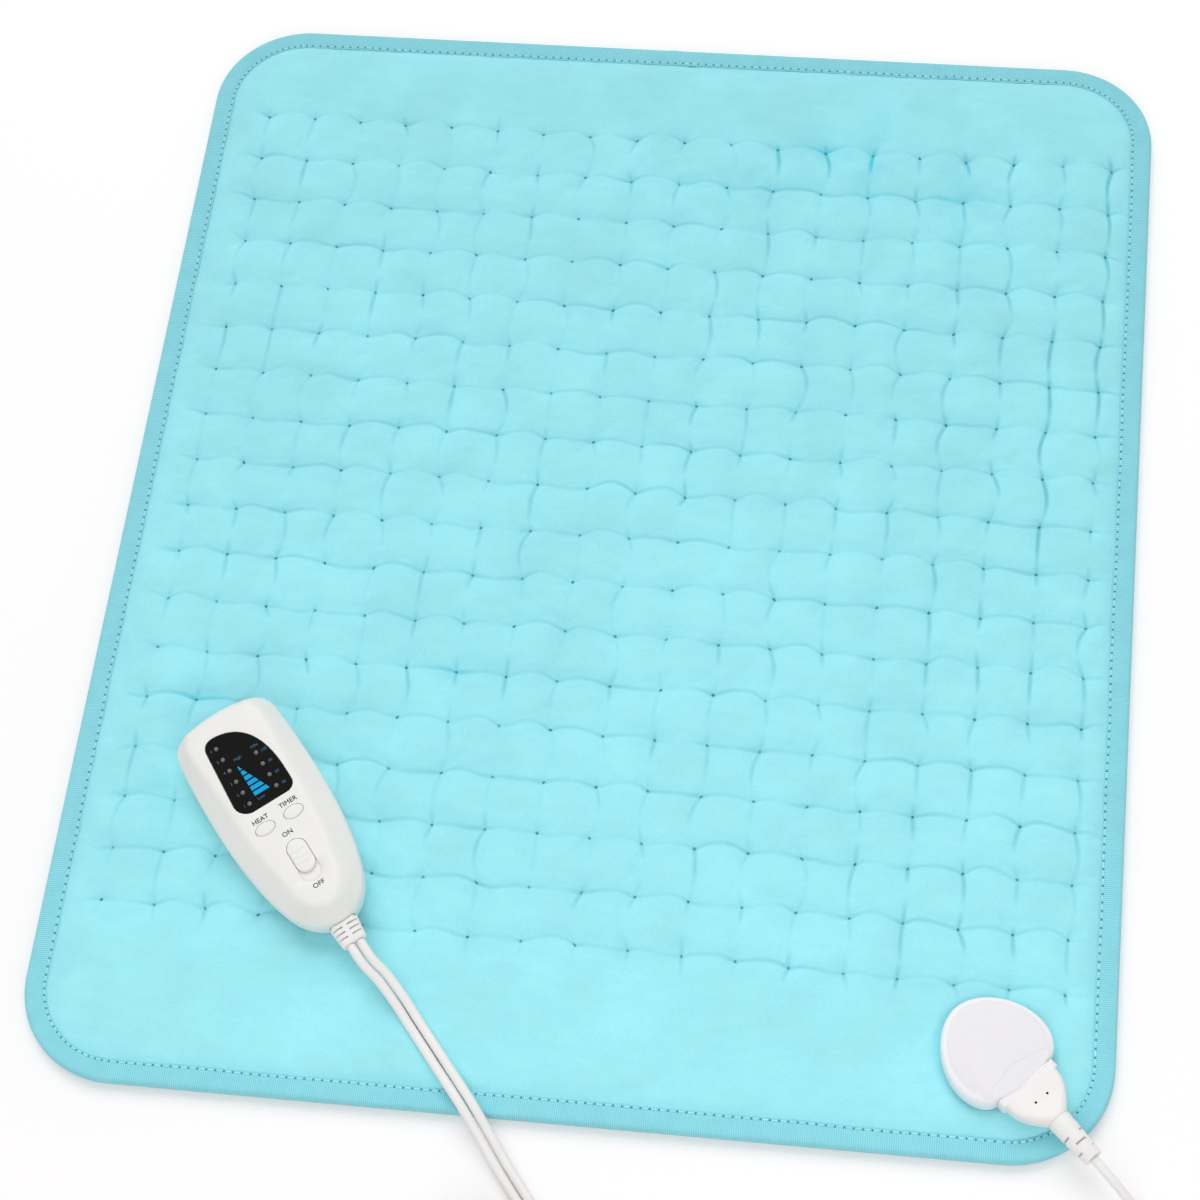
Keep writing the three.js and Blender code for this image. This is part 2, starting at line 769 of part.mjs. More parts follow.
function plugBody() {
  const collar = plugCollar / 2;
  const body = plugBodyWidth / 2;
  const front = -gap - 0.2;
  const shape = new THREE.Shape();
  shape.moveTo(collar, front);
  shape.quadraticCurveTo(0, front - 2 * socketBulge + gap, -collar, front);
  shape.lineTo(-collar, -plugCollarDeep);
  shape.lineTo(-body, -plugCollarDeep - 0.6);
  shape.bezierCurveTo(-body, plugBack * 0.54, -body * 0.72, plugBack * 0.76, -bootRadius, plugBack);
  shape.lineTo(bootRadius, plugBack);
  shape.bezierCurveTo(body * 0.72, plugBack * 0.76, body, plugBack * 0.54, body, -plugCollarDeep - 0.6);
  shape.lineTo(collar, -plugCollarDeep);
  shape.closePath();
  const options = {
    depth: plugThick - 2 * plugSoft,
    bevelThickness: plugSoft,
    bevelSize: plugSoft,
    bevelOffset: -plugSoft,
    bevelSegments: 2,
    curveSegments: 8,
  };
  const block = new THREE.ExtrudeGeometry(shape, options).translate(0, 0, plugBottom + plugSoft);
  const tongueBack = -socketBulge - plugCollarDeep;
  const tongueLong = tongueLength - tongueBack;
  const tongueY = tongueBack + tongueLong / 2;
  const tongue = box(tongueWidth, tongueLong, tongueThick, 0, tongueY, plugAxis - tongueThick / 2);
  const bores = Object.values(pinPlaces).map((x) => (
    rodAlongY(sleeveOuter + gap, tongueLength, x, gap, plugAxis, smallSides)
  ));
  return cut(join(block, [tongue]), bores);
}

function contactSleeve(x) {
  const from = 2 * gap;
  const long = tongueLength - 3 * gap;
  const outer = rodAlongY(sleeveOuter, long, x, from, plugAxis, smallSides);
  return cut(outer, [rodAlongY(sleeveBore, long + 2, x, from - 1, plugAxis, smallSides)]);
}

// A round boot that tapers along the lead, with slots on its sides and faces in turn
function slottedBoot(from) {
  const cone = new THREE.CylinderGeometry(bootRadius, bootEndRadius, bootLength, roundSides);
  const boot = cone.translate(0, from - bootLength / 2, plugAxis);
  const core = bootEndRadius * 0.62;
  const wide = bootEndRadius * 1.5;
  const cuts = [];
  for (let k = 0; k < bootSlots; k += 1) {
    const y = from - bootLength + bootSlotPitch * (k + 1);
    for (const side of [-1, 1]) {
      const away = side * (core + bootRadius / 2);
      const slot = k % 2 === 0
        ? box(bootRadius, bootSlot, wide, away, y, plugAxis - wide / 2)
        : box(wide, bootSlot, bootRadius, 0, y, plugAxis + away - bootRadius / 2);
      cuts.push(slot);
    }
  }
  return cut(boot, cuts);
}

const bootFrom = plugBack - gap;
const plugBoot = slottedBoot(bootFrom);
piece(connector, 'plug_body', plugBody(), finish(leadWhite, 0.45));
piece(connector, 'plug_boot', plugBoot, finish(leadWhite, 0.55));
for (const [side, x] of Object.entries(pinPlaces)) {
  piece(connector, `contact_sleeve_${side}`, contactSleeve(x), finish(brass, 0.3, 1));
}
root.add(connector);

// Controller case: lofted front and rear shells that meet at a parting line

const controller = new THREE.Group();
const caseHalf = controllerWidth / 2;
const caseEnd = controllerLength / 2;
const splitAt = rearDepth + gap;
const shoulderAt = splitAt + wallHeight;
const ceilingAt = controllerHeight - caseTopWall;
const soleHalf = caseHalf - soleInset;
const controllerLift = padCrown + gap + soleHalf * Math.sin(controllerRoll);
controller.position.set(controllerFromLeft, controllerFromFront, controllerLift);
controller.position.add(new THREE.Vector3(-padWidth / 2, -padLength / 2, 0));
controller.rotation.set(0, -controllerRoll, controllerTurn, 'ZYX');

function controllerOutline() {
  const shoulder = 0.957 * caseHalf;
  const cornerX = shoulder - controllerCorner;
  const cornerY = caseEnd - controllerArch - controllerCorner;
  const topY = caseEnd - controllerArch;
  const shape = new THREE.Shape();
  shape.moveTo(0, -caseEnd);
  const curve = (...shares) => {
    const sizes = shares.map((share, k) => share * (k % 2 ? caseEnd : caseHalf));
    shape.bezierCurveTo(...sizes);
  };
  curve(0.355, -1, 0.656, -0.866, 0.762, -0.693);
  curve(1.064, -0.283, 1.036, 0.39, shoulder / caseHalf, cornerY / caseEnd);
  shape.absarc(cornerX, cornerY, controllerCorner, 0, Math.PI / 2, false);
  shape.quadraticCurveTo(0, caseEnd + controllerArch, -cornerX, topY);
  shape.absarc(-cornerX, cornerY, controllerCorner, Math.PI / 2, Math.PI, false);
  curve(-1.036, 0.39, -1.064, -0.283, -0.762, -0.693);
  curve(-0.656, -0.866, -0.355, -1, 0, -1);
  return outlinePoints(shape, 7);
}

const caseOutline = controllerOutline();
const reliefAxis = splitAt - gap / 2;
const neckWide = reliefWidth - 2 * reliefNeck;
const neckTall = reliefHeight - 2 * reliefNeck;
const neckRound = neckTall * 0.42;
const bosses = [
  new THREE.Vector2(0, caseEnd - bossFromEnd),
  new THREE.Vector2(0, -caseEnd + bossFromCordEnd),
];
const frontBoss = screwShank + gap + bossWall;
const rearBoss = screwHeadRadius + gap + bossWall;
const counterbore = screwSink + screwHeadTall + gap;
const screwTop = screwSink + screwHeadTall + screwLength;

// How far the top face lies inside the outline: wide along the sides, narrow at the top end
function faceInset(point) {
  const share = THREE.MathUtils.smoothstep(point.y, caseEnd - chamferFade, caseEnd - chamferFade / 5);
  return THREE.MathUtils.lerp(chamferWidth, chamferAtTop, share);
}

// The lens has one wide swept corner, one large and two small ones; it grows or shrinks all round
function lensShape(grow) {
  const half = lensWidth / 2;
  const low = lensAt - lensLength / 2;
  const high = lensAt + lensLength / 2;
  const shape = new THREE.Shape();
  const corner = (x, y, rx, ry, from) => {
    shape.absellipse(x, y, rx + grow, ry + grow, from, from + Math.PI / 2, false, 0);
  };
  corner(-half + lensLowCorner, low + lensLowCorner, lensLowCorner, lensLowCorner, Math.PI);
  corner(half - lensSmallCorner, low + lensSmallCorner, lensSmallCorner, lensSmallCorner, -Math.PI / 2);
  corner(half - lensSweepX, high - lensSweepY, lensSweepX, lensSweepY, 0);
  corner(-half + lensSmallCorner, high - lensSmallCorner, lensSmallCorner, lensSmallCorner, Math.PI / 2);
  shape.closePath();
  return shape;
}

function stadium(width, length, x, y) {
  const half = width / 2;
  return roundedRectangle(x - half, x + half, y - length / 2, y + length / 2, half - gap);
}

const lampFloor = lensAt - lensLength / 2 + lampFromLensEnd;

function lampColumn(name, count, x, from) {
  return Array.from({ length: count }, (_, k) => ({ name: `${name}_${k + 1}`, x, y: from + k * lampPitch }));
}

const lamps = [
  ...lampColumn('heat_lamp', heatLamps, lampShift - lampColumnX, lampFloor),
  ...lampColumn('timer_lamp', timerLamps, lampShift + lampColumnX, lampFloor + timerLampRaise),
];
const lampHole = lampRadius + gap;
const buttonPlaces = { heat: -buttonSpacing / 2, timer: buttonSpacing / 2 };
const pocketLength = sliderLength + sliderTravel + 2 * gap;
const pocketAt = sliderAt - sliderTravel / 2;
const pocketFloor = controllerHeight - sliderPocket;
const stemSlot = sliderStem + sliderTravel + 2 * gap;

function reliefPassage() {
  const wide = neckWide + 2 * gap;
  const tall = neckTall + 2 * gap;
  const reach = [reliefInside, -reliefOut];
  return loft(reach.map((y) => sectionAlongY(wide, tall, neckRound + gap, y - caseEnd, reliefAxis)));
}

function frontShell() {
  const outer = loft([
    ring(caseOutline, splitAt),
    ring(inset(caseOutline, caseDraft), shoulderAt),
    ring(inset(caseOutline, caseDraft + caseSoft), shoulderAt + caseSoft),
    ring(inset(caseOutline, (p) => faceInset(p) - caseSoft), controllerHeight - caseSoft),
    ring(inset(caseOutline, (p) => faceInset(p) + caseSoft), controllerHeight),
  ]);
  const inner = loft([
    ring(inset(caseOutline, caseWall), splitAt - 1),
    ring(inset(caseOutline, caseWall + caseDraft), shoulderAt - caseSoft / 2),
    ring(inset(caseOutline, (p) => faceInset(p) + caseWall / 2), ceilingAt),
  ]);
  const postTall = ceilingAt - splitAt + gap;
  const posts = bosses.map((p) => common(rod(frontBoss, postTall, p.x, p.y, splitAt, smallSides), outer));
  const shell = join(cut(outer, [inner]), posts);
  const lensSeat = controllerHeight - lensThick - gap;
  const buttonHole = (x) => loft([
    ellipseRing(buttonLength / 2 + gap, buttonDepth / 2 + gap, x, buttonAt, ceilingAt - 1, roundSides),
    ellipseRing(buttonLength / 2 + gap, buttonDepth / 2 + gap, x, buttonAt, controllerHeight + 1, roundSides),
  ]);
  return cut(shell, [
    prism(lensShape(gap), lensThick + 1 + gap, lensSeat, 5),
    prism(lensShape(-lensLedge), caseTopWall + 2, ceilingAt - 1, 3),
    ...Object.values(buttonPlaces).map(buttonHole),
    prism(stadium(sliderWidth + 2 * gap, pocketLength, 0, pocketAt), sliderPocket + 1, pocketFloor, 3),
    box(sliderStemWidth + 2 * gap, stemSlot, caseTopWall + 2, 0, pocketAt, ceilingAt - 1),
    ...bosses.map((p) => rod(screwShank + gap, screwTop + gap, p.x, p.y, 0, smallSides)),
    reliefPassage(),
  ]);
}

function rearShell() {
  const outer = loft([
    ring(inset(caseOutline, soleInset), 0),
    ring(inset(caseOutline, soleInset * 0.55), soleInset * 0.2),
    ring(inset(caseOutline, soleInset * 0.2), soleInset * 0.65),
    ring(caseOutline, rearDepth),
  ]);
  const inner = loft([
    ring(inset(caseOutline, soleInset + caseWall / 2), caseWall),
    ring(inset(caseOutline, caseWall + soleInset * 0.2), caseWall + soleInset / 2),
    ring(inset(caseOutline, caseWall), rearDepth + 1),
  ]);
  const floor = caseWall / 2;
  const posts = [
    ...bosses.map((p) => common(rod(rearBoss, rearDepth - floor, p.x, p.y, floor, smallSides), outer)),
    ...boardPosts.map((p) => rod(postRadius, boardAt - gap - floor, p.x, p.y, floor, smallSides)),
    ...clampPosts.map((p) => rod(clampPost, clampAt - gap - floor, p.x, p.y, floor, smallSides)),
  ];
  const screwHoles = bosses.flatMap((p) => [
    rod(screwShank + gap, rearDepth + 2, p.x, p.y, -1, smallSides),
    rod(screwHeadRadius + gap, counterbore + 1, p.x, p.y, -1, smallSides),
  ]);
  return cut(join(cut(outer, [inner]), posts), [...screwHoles, reliefPassage()]);
}

// The board fills the inside of the case between the screw bosses
const boardTop = bosses[0].y - rearBoss - gap;
const boardLow = bosses[1].y + rearBoss + gap;
const boardPosts = [
  new THREE.Vector2(-caseHalf * 0.6, boardTop - 2 * postRadius),
  new THREE.Vector2(caseHalf * 0.6, boardTop - 2 * postRadius),
  new THREE.Vector2(-caseHalf * 0.55, boardLow + 2 * postRadius),
  new THREE.Vector2(caseHalf * 0.55, boardLow + 2 * postRadius),
];
const clampY = -caseEnd + bossFromCordEnd - rearBoss - clampDeep / 2 - gap;
const clampAt = reliefAxis + neckTall / 2 + gap;
const clampReach = neckWide / 2 + gap + clampPost;
const clampPosts = [new THREE.Vector2(-clampReach, clampY), new THREE.Vector2(clampReach, clampY)];

function displayLens() {
  const plate = prism(lensShape(0), lensThick, controllerHeight - lensThick, 5);
  const under = controllerHeight - lensThick - 1;
  return cut(plate, lamps.map((lamp) => rod(lampHole, lensThick + 2, lamp.x, lamp.y, under, smallSides)));
}

function lampGeometry(lamp) {
  const from = boardAt + boardThick + gap;
  const profile = [
    [0, from],
    [lampRadius * 1.3, from],
    [lampRadius * 1.3, from + 1],
    [lampRadius, from + 1],
    [lampRadius, controllerHeight],
    [lampRadius * 0.7, controllerHeight + lampDome * 0.7],
    [0, controllerHeight + lampDome],
  ];
  const points = profile.map(([r, z]) => new THREE.Vector2(r, z));
  const turned = new THREE.LatheGeometry(points, leadSides).rotateX(Math.PI / 2);
  return bare(turned).translate(lamp.x, lamp.y, 0);
}

const boardUpper = boardAt + boardThick + gap;
const flangeTop = ceilingAt - gap;
const flangeLow = flangeTop - buttonFlange;
const plungerTop = flangeLow - gap;

function pressButton(x) {
  const halfX = buttonLength / 2;
  const halfY = buttonDepth / 2;
  const level = (grow, z) => ellipseRing(halfX + grow, halfY + grow, x, buttonAt, z, roundSides);
  return loft([
    level(buttonLip, flangeLow),
    level(buttonLip, flangeTop),
    level(0, flangeTop),
    level(0, controllerHeight),
    level(-2 * buttonProud, controllerHeight + buttonProud),
  ]);
}

function tactSwitch(x) {
  const body = box(tactSize, tactSize, tactHeight, x, buttonAt, boardUpper);
  const depth = plungerTop - plungerTall - buttonTravel - gap;
  return cut(body, [rod(plungerRadius + gap, tactHeight * 2, x, buttonAt, depth, smallSides)]);
}

const sliderBottom = pocketFloor + gap;
const switchTop = boardUpper + switchHeight;
const stemBottom = switchTop + gap;
const leverFrom = switchTop - leverTall / 2;

function powerSlider() {
  const soft = sliderThick / 4;
  const outline = outlinePoints(stadium(sliderWidth, sliderLength, 0, sliderAt), 3);
  const cap = loft([
    ring(outline, sliderBottom),
    ring(outline, sliderBottom + sliderThick - soft),
    ring(inset(outline, soft), sliderBottom + sliderThick),
  ]);
  const ribBase = sliderBottom + sliderThick - soft;
  const firstRib = sliderAt - ((sliderRibs - 1) / 2) * sliderRibPitch;
  const ribs = Array.from({ length: sliderRibs }, (_, k) => (
    box(sliderWidth * 0.7, 1, sliderRib + soft, 0, firstRib + k * sliderRibPitch, ribBase)
  ));
  const stemTall = sliderBottom + soft * 2 - stemBottom;
  const stem = box(sliderStemWidth, sliderStem, stemTall, 0, sliderAt, stemBottom);
  const notch = box(sliderStemWidth + 2, leverThick + 2 * gap, leverTall, 0, sliderAt, leverFrom + gap);
  return cut(join(cap, [...ribs, stem]), [notch]);
}

function slideSwitch() {
  const body = box(switchWidth, switchLength, switchHeight, 0, pocketAt, boardUpper);
  const slotLong = leverThick + sliderTravel + 2 * gap;
  const slot = box(leverWidth + 2 * gap, slotLong, switchHeight, 0, pocketAt, leverFrom - gap);
  return cut(body, [slot]);
}

function caseScrew(p) {
  const head = rod(screwHeadRadius, screwHeadTall, p.x, p.y, screwSink, smallSides);
  const from = screwSink + screwHeadTall / 2;
  const shank = rod(screwShank, screwTop - from, p.x, p.y, from, smallSides);
  return join(head, [shank]);
}

const reliefEnd = -caseEnd - gap - reliefOut;

// Flat twin strain relief: a clamped tail, a flange and neck in the case wall, and a slotted taper outside
function strainRelief() {
  const outside = -caseEnd - gap;
  const wallInside = -caseEnd + reliefInside;
  const flangeFrom = wallInside + reliefFlange;
  const wider = reliefWidth + 1.4;
  const taller = reliefHeight + 0.8;
  const section = (w, h, y) => sectionAlongY(w, h, h * 0.42, y, reliefAxis);
  const rings = [
    section(neckWide - reliefNeck, neckTall - 2 * gap, flangeFrom + reliefTail),
    section(neckWide - reliefNeck, neckTall - 2 * gap, flangeFrom),
    section(wider, taller, flangeFrom),
    section(wider, taller, wallInside),
    section(neckWide, neckTall, wallInside),
    section(neckWide, neckTall, outside),
    section(reliefWidth, reliefHeight, outside),
    section(reliefWidth - reliefTaper, reliefHeight - reliefTaper * 0.7, reliefEnd),
  ];
  const slots = [];
  for (let k = 0; k < reliefSlots; k += 1) {
    const y = outside - reliefSlotPitch * (k + 0.8);
    for (const side of [-1, 1]) {
      for (const face of [-1, 1]) {
        const z = reliefAxis + face * reliefHeight * 0.44 - reliefHeight * 0.2;
        slots.push(box(reliefWidth * 0.42, reliefSlot, reliefHeight * 0.4, side * reliefWidth * 0.29, y, z));
      }
    }
  }
  return cut(loft(rings), slots);
}

function circuitBoard() {
  const inside = inset(caseOutline, caseWall + caseDraft + 3 * gap);
  const plate = prism(new THREE.Shape(inside), boardThick, boardAt);
  const boardMiddle = (boardTop + boardLow) / 2;
  const span = box(controllerWidth, boardTop - boardLow, boardThick * 3, 0, boardMiddle, boardAt - 1);
  return common(plate, span);
}

const boardUnder = boardAt - gap;
const leftParts = -caseHalf / 3;
const rightParts = caseHalf / 3;
piece(controller, 'front_shell', frontShell(), finish(caseWhite, 0.45));
piece(controller, 'rear_shell', rearShell(), finish(caseWhite, 0.5));
piece(controller, 'display_lens', displayLens(), finish(lensBlack, 0.15));
for (const lamp of lamps) {
  piece(controller, lamp.name, lampGeometry(lamp), finish(lampGrey, 0.25));
}
for (const [side, x] of Object.entries(buttonPlaces)) {
  const plunger = rod(plungerRadius, plungerTall, x, buttonAt, plungerTop - plungerTall, smallSides);
  piece(controller, `${side}_button`, pressButton(x), finish(caseWhite, 0.45));
  piece(controller, `${side}_switch`, tactSwitch(x), finish(partBlack, 0.5));
  piece(controller, `${side}_plunger`, plunger, finish(partBlack, 0.4));
}
piece(controller, 'power_slider', powerSlider(), finish(caseWhite, 0.45));
piece(controller, 'slide_switch', slideSwitch(), finish(tinned, 0.4, 1));
const lever = box(leverWidth, leverThick, leverTall, 0, sliderAt, leverFrom);
piece(controller, 'slide_lever', lever, finish(partBlack, 0.5));
piece(controller, 'circuit_board', circuitBoard(), finish(boardGreen, 0.5));
const capacitor = rodAlongY(capacitorRadius, capacitorLength, leftParts, 2, boardUnder - capacitorRadius);
piece(controller, 'capacitor', capacitor, finish(partBlack, 0.4));
const fuse = rodAlongY(fuseRadius, fuseLength, rightParts, -16, boardUnder - fuseRadius, smallSides);
piece(controller, 'fuse', fuse, finish(tinned, 0.3));
const triac = box(triacWidth, triacLength, triacThick, rightParts, 22, boardUnder - triacThick);
piece(controller, 'triac', triac, finish(partBlack, 0.5));
const chip = box(chipWidth, chipLength, chipThick, leftParts, -14, boardUnder - chipThick);
piece(controller, 'control_chip', chip, finish(partBlack, 0.5));
const clampWide = 2 * (clampReach + clampPost);
const clamp = box(clampWide, clampDeep, clampThick, 0, clampY, clampAt);
piece(controller, 'cord_clamp', clamp, finish(caseWhite, 0.6));
piece(controller, 'strain_relief', strainRelief(), finish(leadWhite, 0.55));
bosses.forEach((p, k) => piece(controller, `case_screw_${k + 1}`, caseScrew(p), finish(tinned, 0.35, 1)));
root.add(controller);

// Leads: two cords leave the controller side by side, run off the pad and part on the floor

const coilLift = tieThick + gap;
controller.updateMatrix();
const reliefPoint = (y) => new THREE.Vector3(0, y, reliefAxis).applyMatrix4(controller.matrix);
const leadExit = reliefPoint(reliefEnd - gap);
const leadStraight = reliefPoint(reliefEnd - leadDiameter);
const pairRoute = [
  leadExit.toArray(),
  leadStraight.toArray(),
  [-89.5, -242.7, 22.0],
  [-83.1, -247.6, 19.5],
  [-73.9, -257.1, 15.8],
  [-65.5, -267.2, 13.4],
  [-56.8, -277.8, 12.7],
  [-48.1, -288.5, 12.6],
  [-39.5, -298.9, 12.0],
  [-35.5, -303.9, 11.0],
  [-28.9, -312.5, 8.0],
  [-17.3, -328.0, 3.6],
  [-7.2, -340.8, 2.3],
];

// One cord of the pair: the shared route moved sideways, then its own points
function leadRoute(side, own) {
  const shared = pairRoute.map(([x, y, z], k) => {
    const [ax, ay] = pairRoute[Math.max(k - 1, 0)];
    const [bx, by] = pairRoute[Math.min(k + 1, pairRoute.length - 1)];
    const along = new THREE.Vector2(bx - ax, by - ay).normalize();
    const away = (side * leadSpacing) / 2;
    return new THREE.Vector3(x - along.y * away, y + along.x * away, z);
  });
  return [...shared, ...own.map((p) => new THREE.Vector3(...p))];
}

function lead(points, steps) {
  return tube(new THREE.CatmullRomCurve3(points), leadDiameter, leadSides, steps);
}

// Turns that spiral in and out at one rate, climbing a layer in the half turn where the spiral reverses
class WoundCoil extends THREE.Curve {
  constructor(turns, layers, startAngle, x, y) {
    super();
    Object.assign(this, { turns, layers, startAngle, x, y });
    this.perLayer = turns / layers;
    this.outer = coilMean + (coilPitch * this.perLayer) / 2;
    this.straight = leadDiameter;
    this.wound = turns * 2 * Math.PI * coilMean;
    this.arcLengthDivisions = Math.ceil(turns * coilSteps * 4);
  }

  spot(turn) {
    const layer = Math.min(Math.floor(turn / this.perLayer), this.layers - 1);
    const through = turn / this.perLayer - layer;
    const inwards = layer % 2 === 0;
    const radius = this.outer - coilPitch * this.perLayer * (inwards ? through : 1 - through);
    let height = 0;
    for (let k = 1; k < this.layers; k += 1) {
      const climb = (turn - k * this.perLayer) / 0.5 + 0.5;
      height += coilLayer * THREE.MathUtils.clamp(climb, 0, 1);
    }
    const angle = this.startAngle - turn * 2 * Math.PI;
    const z = coilLift + leadDiameter / 2 + height;
    return new THREE.Vector3(this.x + radius * Math.cos(angle), this.y + radius * Math.sin(angle), z);
  }

  heading(turn) {
    const angle = this.startAngle - turn * 2 * Math.PI;
    return new THREE.Vector3(Math.sin(angle), -Math.cos(angle), 0);
  }

  getPoint(share) {
    const along = share * (this.wound + 2 * this.straight);
    if (along < this.straight) {
      return this.spot(0).addScaledVector(this.heading(0), along - this.straight);
    }
    if (along > this.straight + this.wound) {
      const past = along - this.straight - this.wound;
      return this.spot(this.turns).addScaledVector(this.heading(this.turns), past);
    }
    return this.spot(((along - this.straight) / this.wound) * this.turns);
  }

  // Least distance between turns, on points more than half a turn apart
  leastGap() {
    const count = Math.ceil(this.turns * coilSteps);
    const points = this.getSpacedPoints(count);
    let least = Infinity;
    for (let i = 0; i < points.length; i += 1) {
      for (let j = i + coilSteps / 2; j < points.length; j += 1) {
        least = Math.min(least, points[i].distanceTo(points[j]));
      }
    }
    return least - leadDiameter;
  }
}

function coilTie(coil, angle) {
  const bundleIn = coil.outer - coilPitch * coil.perLayer - leadDiameter / 2 - 3 * gap;
  const bundleOut = coil.outer + leadDiameter / 2 + gap;
  const bundleTop = coilLift + (coil.layers - 1) * coilLayer + leadDiameter + gap;
  const corner = tieThick * 2;
  const shape = roundedRectangle(bundleIn - tieThick, bundleOut + tieThick, 0, bundleTop + tieThick, corner);
  shape.holes.push(roundedRectangle(bundleIn, bundleOut, tieThick, bundleTop, corner - tieThick));
  const strap = prism(shape, tieWidth, -tieWidth / 2, 2).rotateX(Math.PI / 2);
  return strap.rotateZ(angle).translate(coil.x, coil.y, 0);
}

function coilPiece(name, coil, tieAngle) {
  const steps = Math.ceil(coil.turns * coilSteps) + 2;
  console.log(`${name}: least gap between turns ${coil.leastGap().toFixed(2)} mm`);
  piece(root, `${name}_coil`, tube(coil, leadDiameter, coilSides, steps), finish(leadWhite, 0.5));
  piece(root, `${name}_tie`, coilTie(coil, tieAngle), finish(partBlack, 0.7));
}

const mainsCoil = new WoundCoil(mainsTurns, mainsLayers, THREE.MathUtils.degToRad(38.5), -16.4, -386.5);
const padCoil = new WoundCoil(padTurns, padLayers, Math.PI / 2, 120, -399);
const mainsStart = mainsCoil.getPoint(0).addScaledVector(mainsCoil.heading(0), -gap);
const mainsEnd = mainsCoil.getPoint(1).addScaledVector(mainsCoil.heading(mainsTurns), gap);
const padStart = padCoil.getPoint(0).addScaledVector(padCoil.heading(0), -gap);
const padEnd = padCoil.getPoint(1).addScaledVector(padCoil.heading(padTurns), gap);

const bootEnd = bootFrom - bootLength;
const bootPoint = (y) => new THREE.Vector3(0, y, plugAxis).applyMatrix4(connector.matrix);
const bootExit = bootPoint(bootEnd - gap);
const bootStraight = bootPoint(bootEnd - leadDiameter);

const mainsRoute = leadRoute(-1, [[-1.6, -351.6, 3.0], mainsStart.toArray()]);
const mainsTail = [
  mainsEnd.toArray(),
  [-27.0, -419.1, 18.7],
  [-35.0, -419.1, 17.3],
  [-43.0, -419.1, 14.2],
  [-51.0, -419.1, 11.0],
  [-57.5, -419.1, 9.2],
  [-62.0, -419.1, 8.8],
];
const padRoute = leadRoute(1, [
  [2.0, -347.8, 2.3],
  [9.4, -354.4, 2.3],
  [18.0, -360.6, 2.3],
  [29.0, -365.0, 2.3],
  [41.0, -367.6, 2.4],
  [54.0, -368.6, 2.7],
  [70.0, -368.6, 3.1],
  [90.0, -368.6, 3.5],
  padStart.toArray(),
]);
const padTail = [
  padEnd.toArray(),
  [134.0, -368.6, 8.4],
  [145.0, -368.6, 7.2],
  [157.0, -368.6, 5.2],
  [170.0, -368.6, 3.4],
  [182.0, -368.6, 2.5],
  [204.0, -368.6, 2.3],
  [226.0, -368.6, 2.3],
  [239.0, -368.2, 2.3],
  [249.5, -366.6, 2.3],
  [258.0, -363.2, 2.3],
  [264.8, -358.2, 2.3],
  [269.8, -351.6, 2.3],
  [272.6, -344.6, 2.3],
  [273.2, -337.8, 2.4],
  [271.9, -331.4, 3.0],
  [269.0, -325.8, 4.5],
  [265.1, -321.2, 6.8],
  [260.9, -317.3, 9.6],
  [256.8, -313.6, 12.3],
  [252.8, -309.9, 14.2],
  bootStraight.toArray(),
  bootExit.toArray(),
];

function vectors(list) {
  return list.map((p) => new THREE.Vector3(...p));
}

piece(root, 'mains_lead', lead(mainsRoute, 18), finish(leadWhite, 0.5));
coilPiece('mains_lead', mainsCoil, Math.PI);
piece(root, 'mains_lead_end', lead(vectors(mainsTail), 6), finish(leadWhite, 0.5));
piece(root, 'pad_lead', lead(padRoute, 28), finish(leadWhite, 0.5));
coilPiece('pad_lead', padCoil, -Math.PI / 2);
piece(root, 'pad_lead_end', lead(vectors(padTail), 26), finish(leadWhite, 0.5));

// Mains plug, lying on the floor beside its coil

const mainsPlug = new THREE.Group();
const mainsPlugAxis = mainsTail[mainsTail.length - 1][2];
mainsPlug.position.set(-62 - gap, -419.1, 0);
mainsPlug.rotation.z = -Math.PI / 2;

const mainsFace = -mainsBootLength - mainsPlugLength;

// One moulding: a round boot that swells into the grip and the flat face
function mainsPlugBody() {
  const section = (w, h, y) => sectionAlongY(w, h, h * 0.48, y, mainsPlugAxis);
  const block = loft([
    section(2 * bootEndRadius, 2 * bootEndRadius, 0),
    section(2 * bootRadius, 2 * bootRadius, -mainsBootLength),
    section(mainsPlugWidth * 0.76, mainsPlugThick * 0.84, -mainsBootLength - mainsPlugLength * 0.25),
    section(mainsPlugWidth * 0.84, mainsPlugThick * 0.84, -mainsBootLength - mainsPlugLength * 0.5),
    section(mainsPlugWidth, mainsPlugThick, mainsFace + 6),
    section(mainsPlugWidth, mainsPlugThick, mainsFace + 1),
    section(mainsPlugWidth - 2, mainsPlugThick - 2, mainsFace),
  ]);
  const deep = bladeRoot + 2;
  const rootY = mainsFace + bladeRoot - deep / 2;
  const roots = [-1, 1].map((side) => {
    const x = (side * bladePitch) / 2;
    const low = mainsPlugAxis - bladeWide / 2 - gap;
    return box(bladeThick + 2 * gap, deep, bladeWide + 2 * gap, x, rootY, low);
  });
  return cut(block, roots);
}

function mainsBlade(side) {
  const long = bladeLength + bladeRoot - gap;
  const middle = mainsFace + bladeRoot - gap - long / 2;
  return box(bladeThick, long, bladeWide, (side * bladePitch) / 2, middle, mainsPlugAxis - bladeWide / 2);
}

piece(mainsPlug, 'mains_plug', mainsPlugBody(), finish(leadWhite, 0.45));
piece(mainsPlug, 'mains_blade_left', mainsBlade(-1), finish(brass, 0.3, 1));
piece(mainsPlug, 'mains_blade_right', mainsBlade(1), finish(brass, 0.3, 1));
root.add(mainsPlug);

export default root;
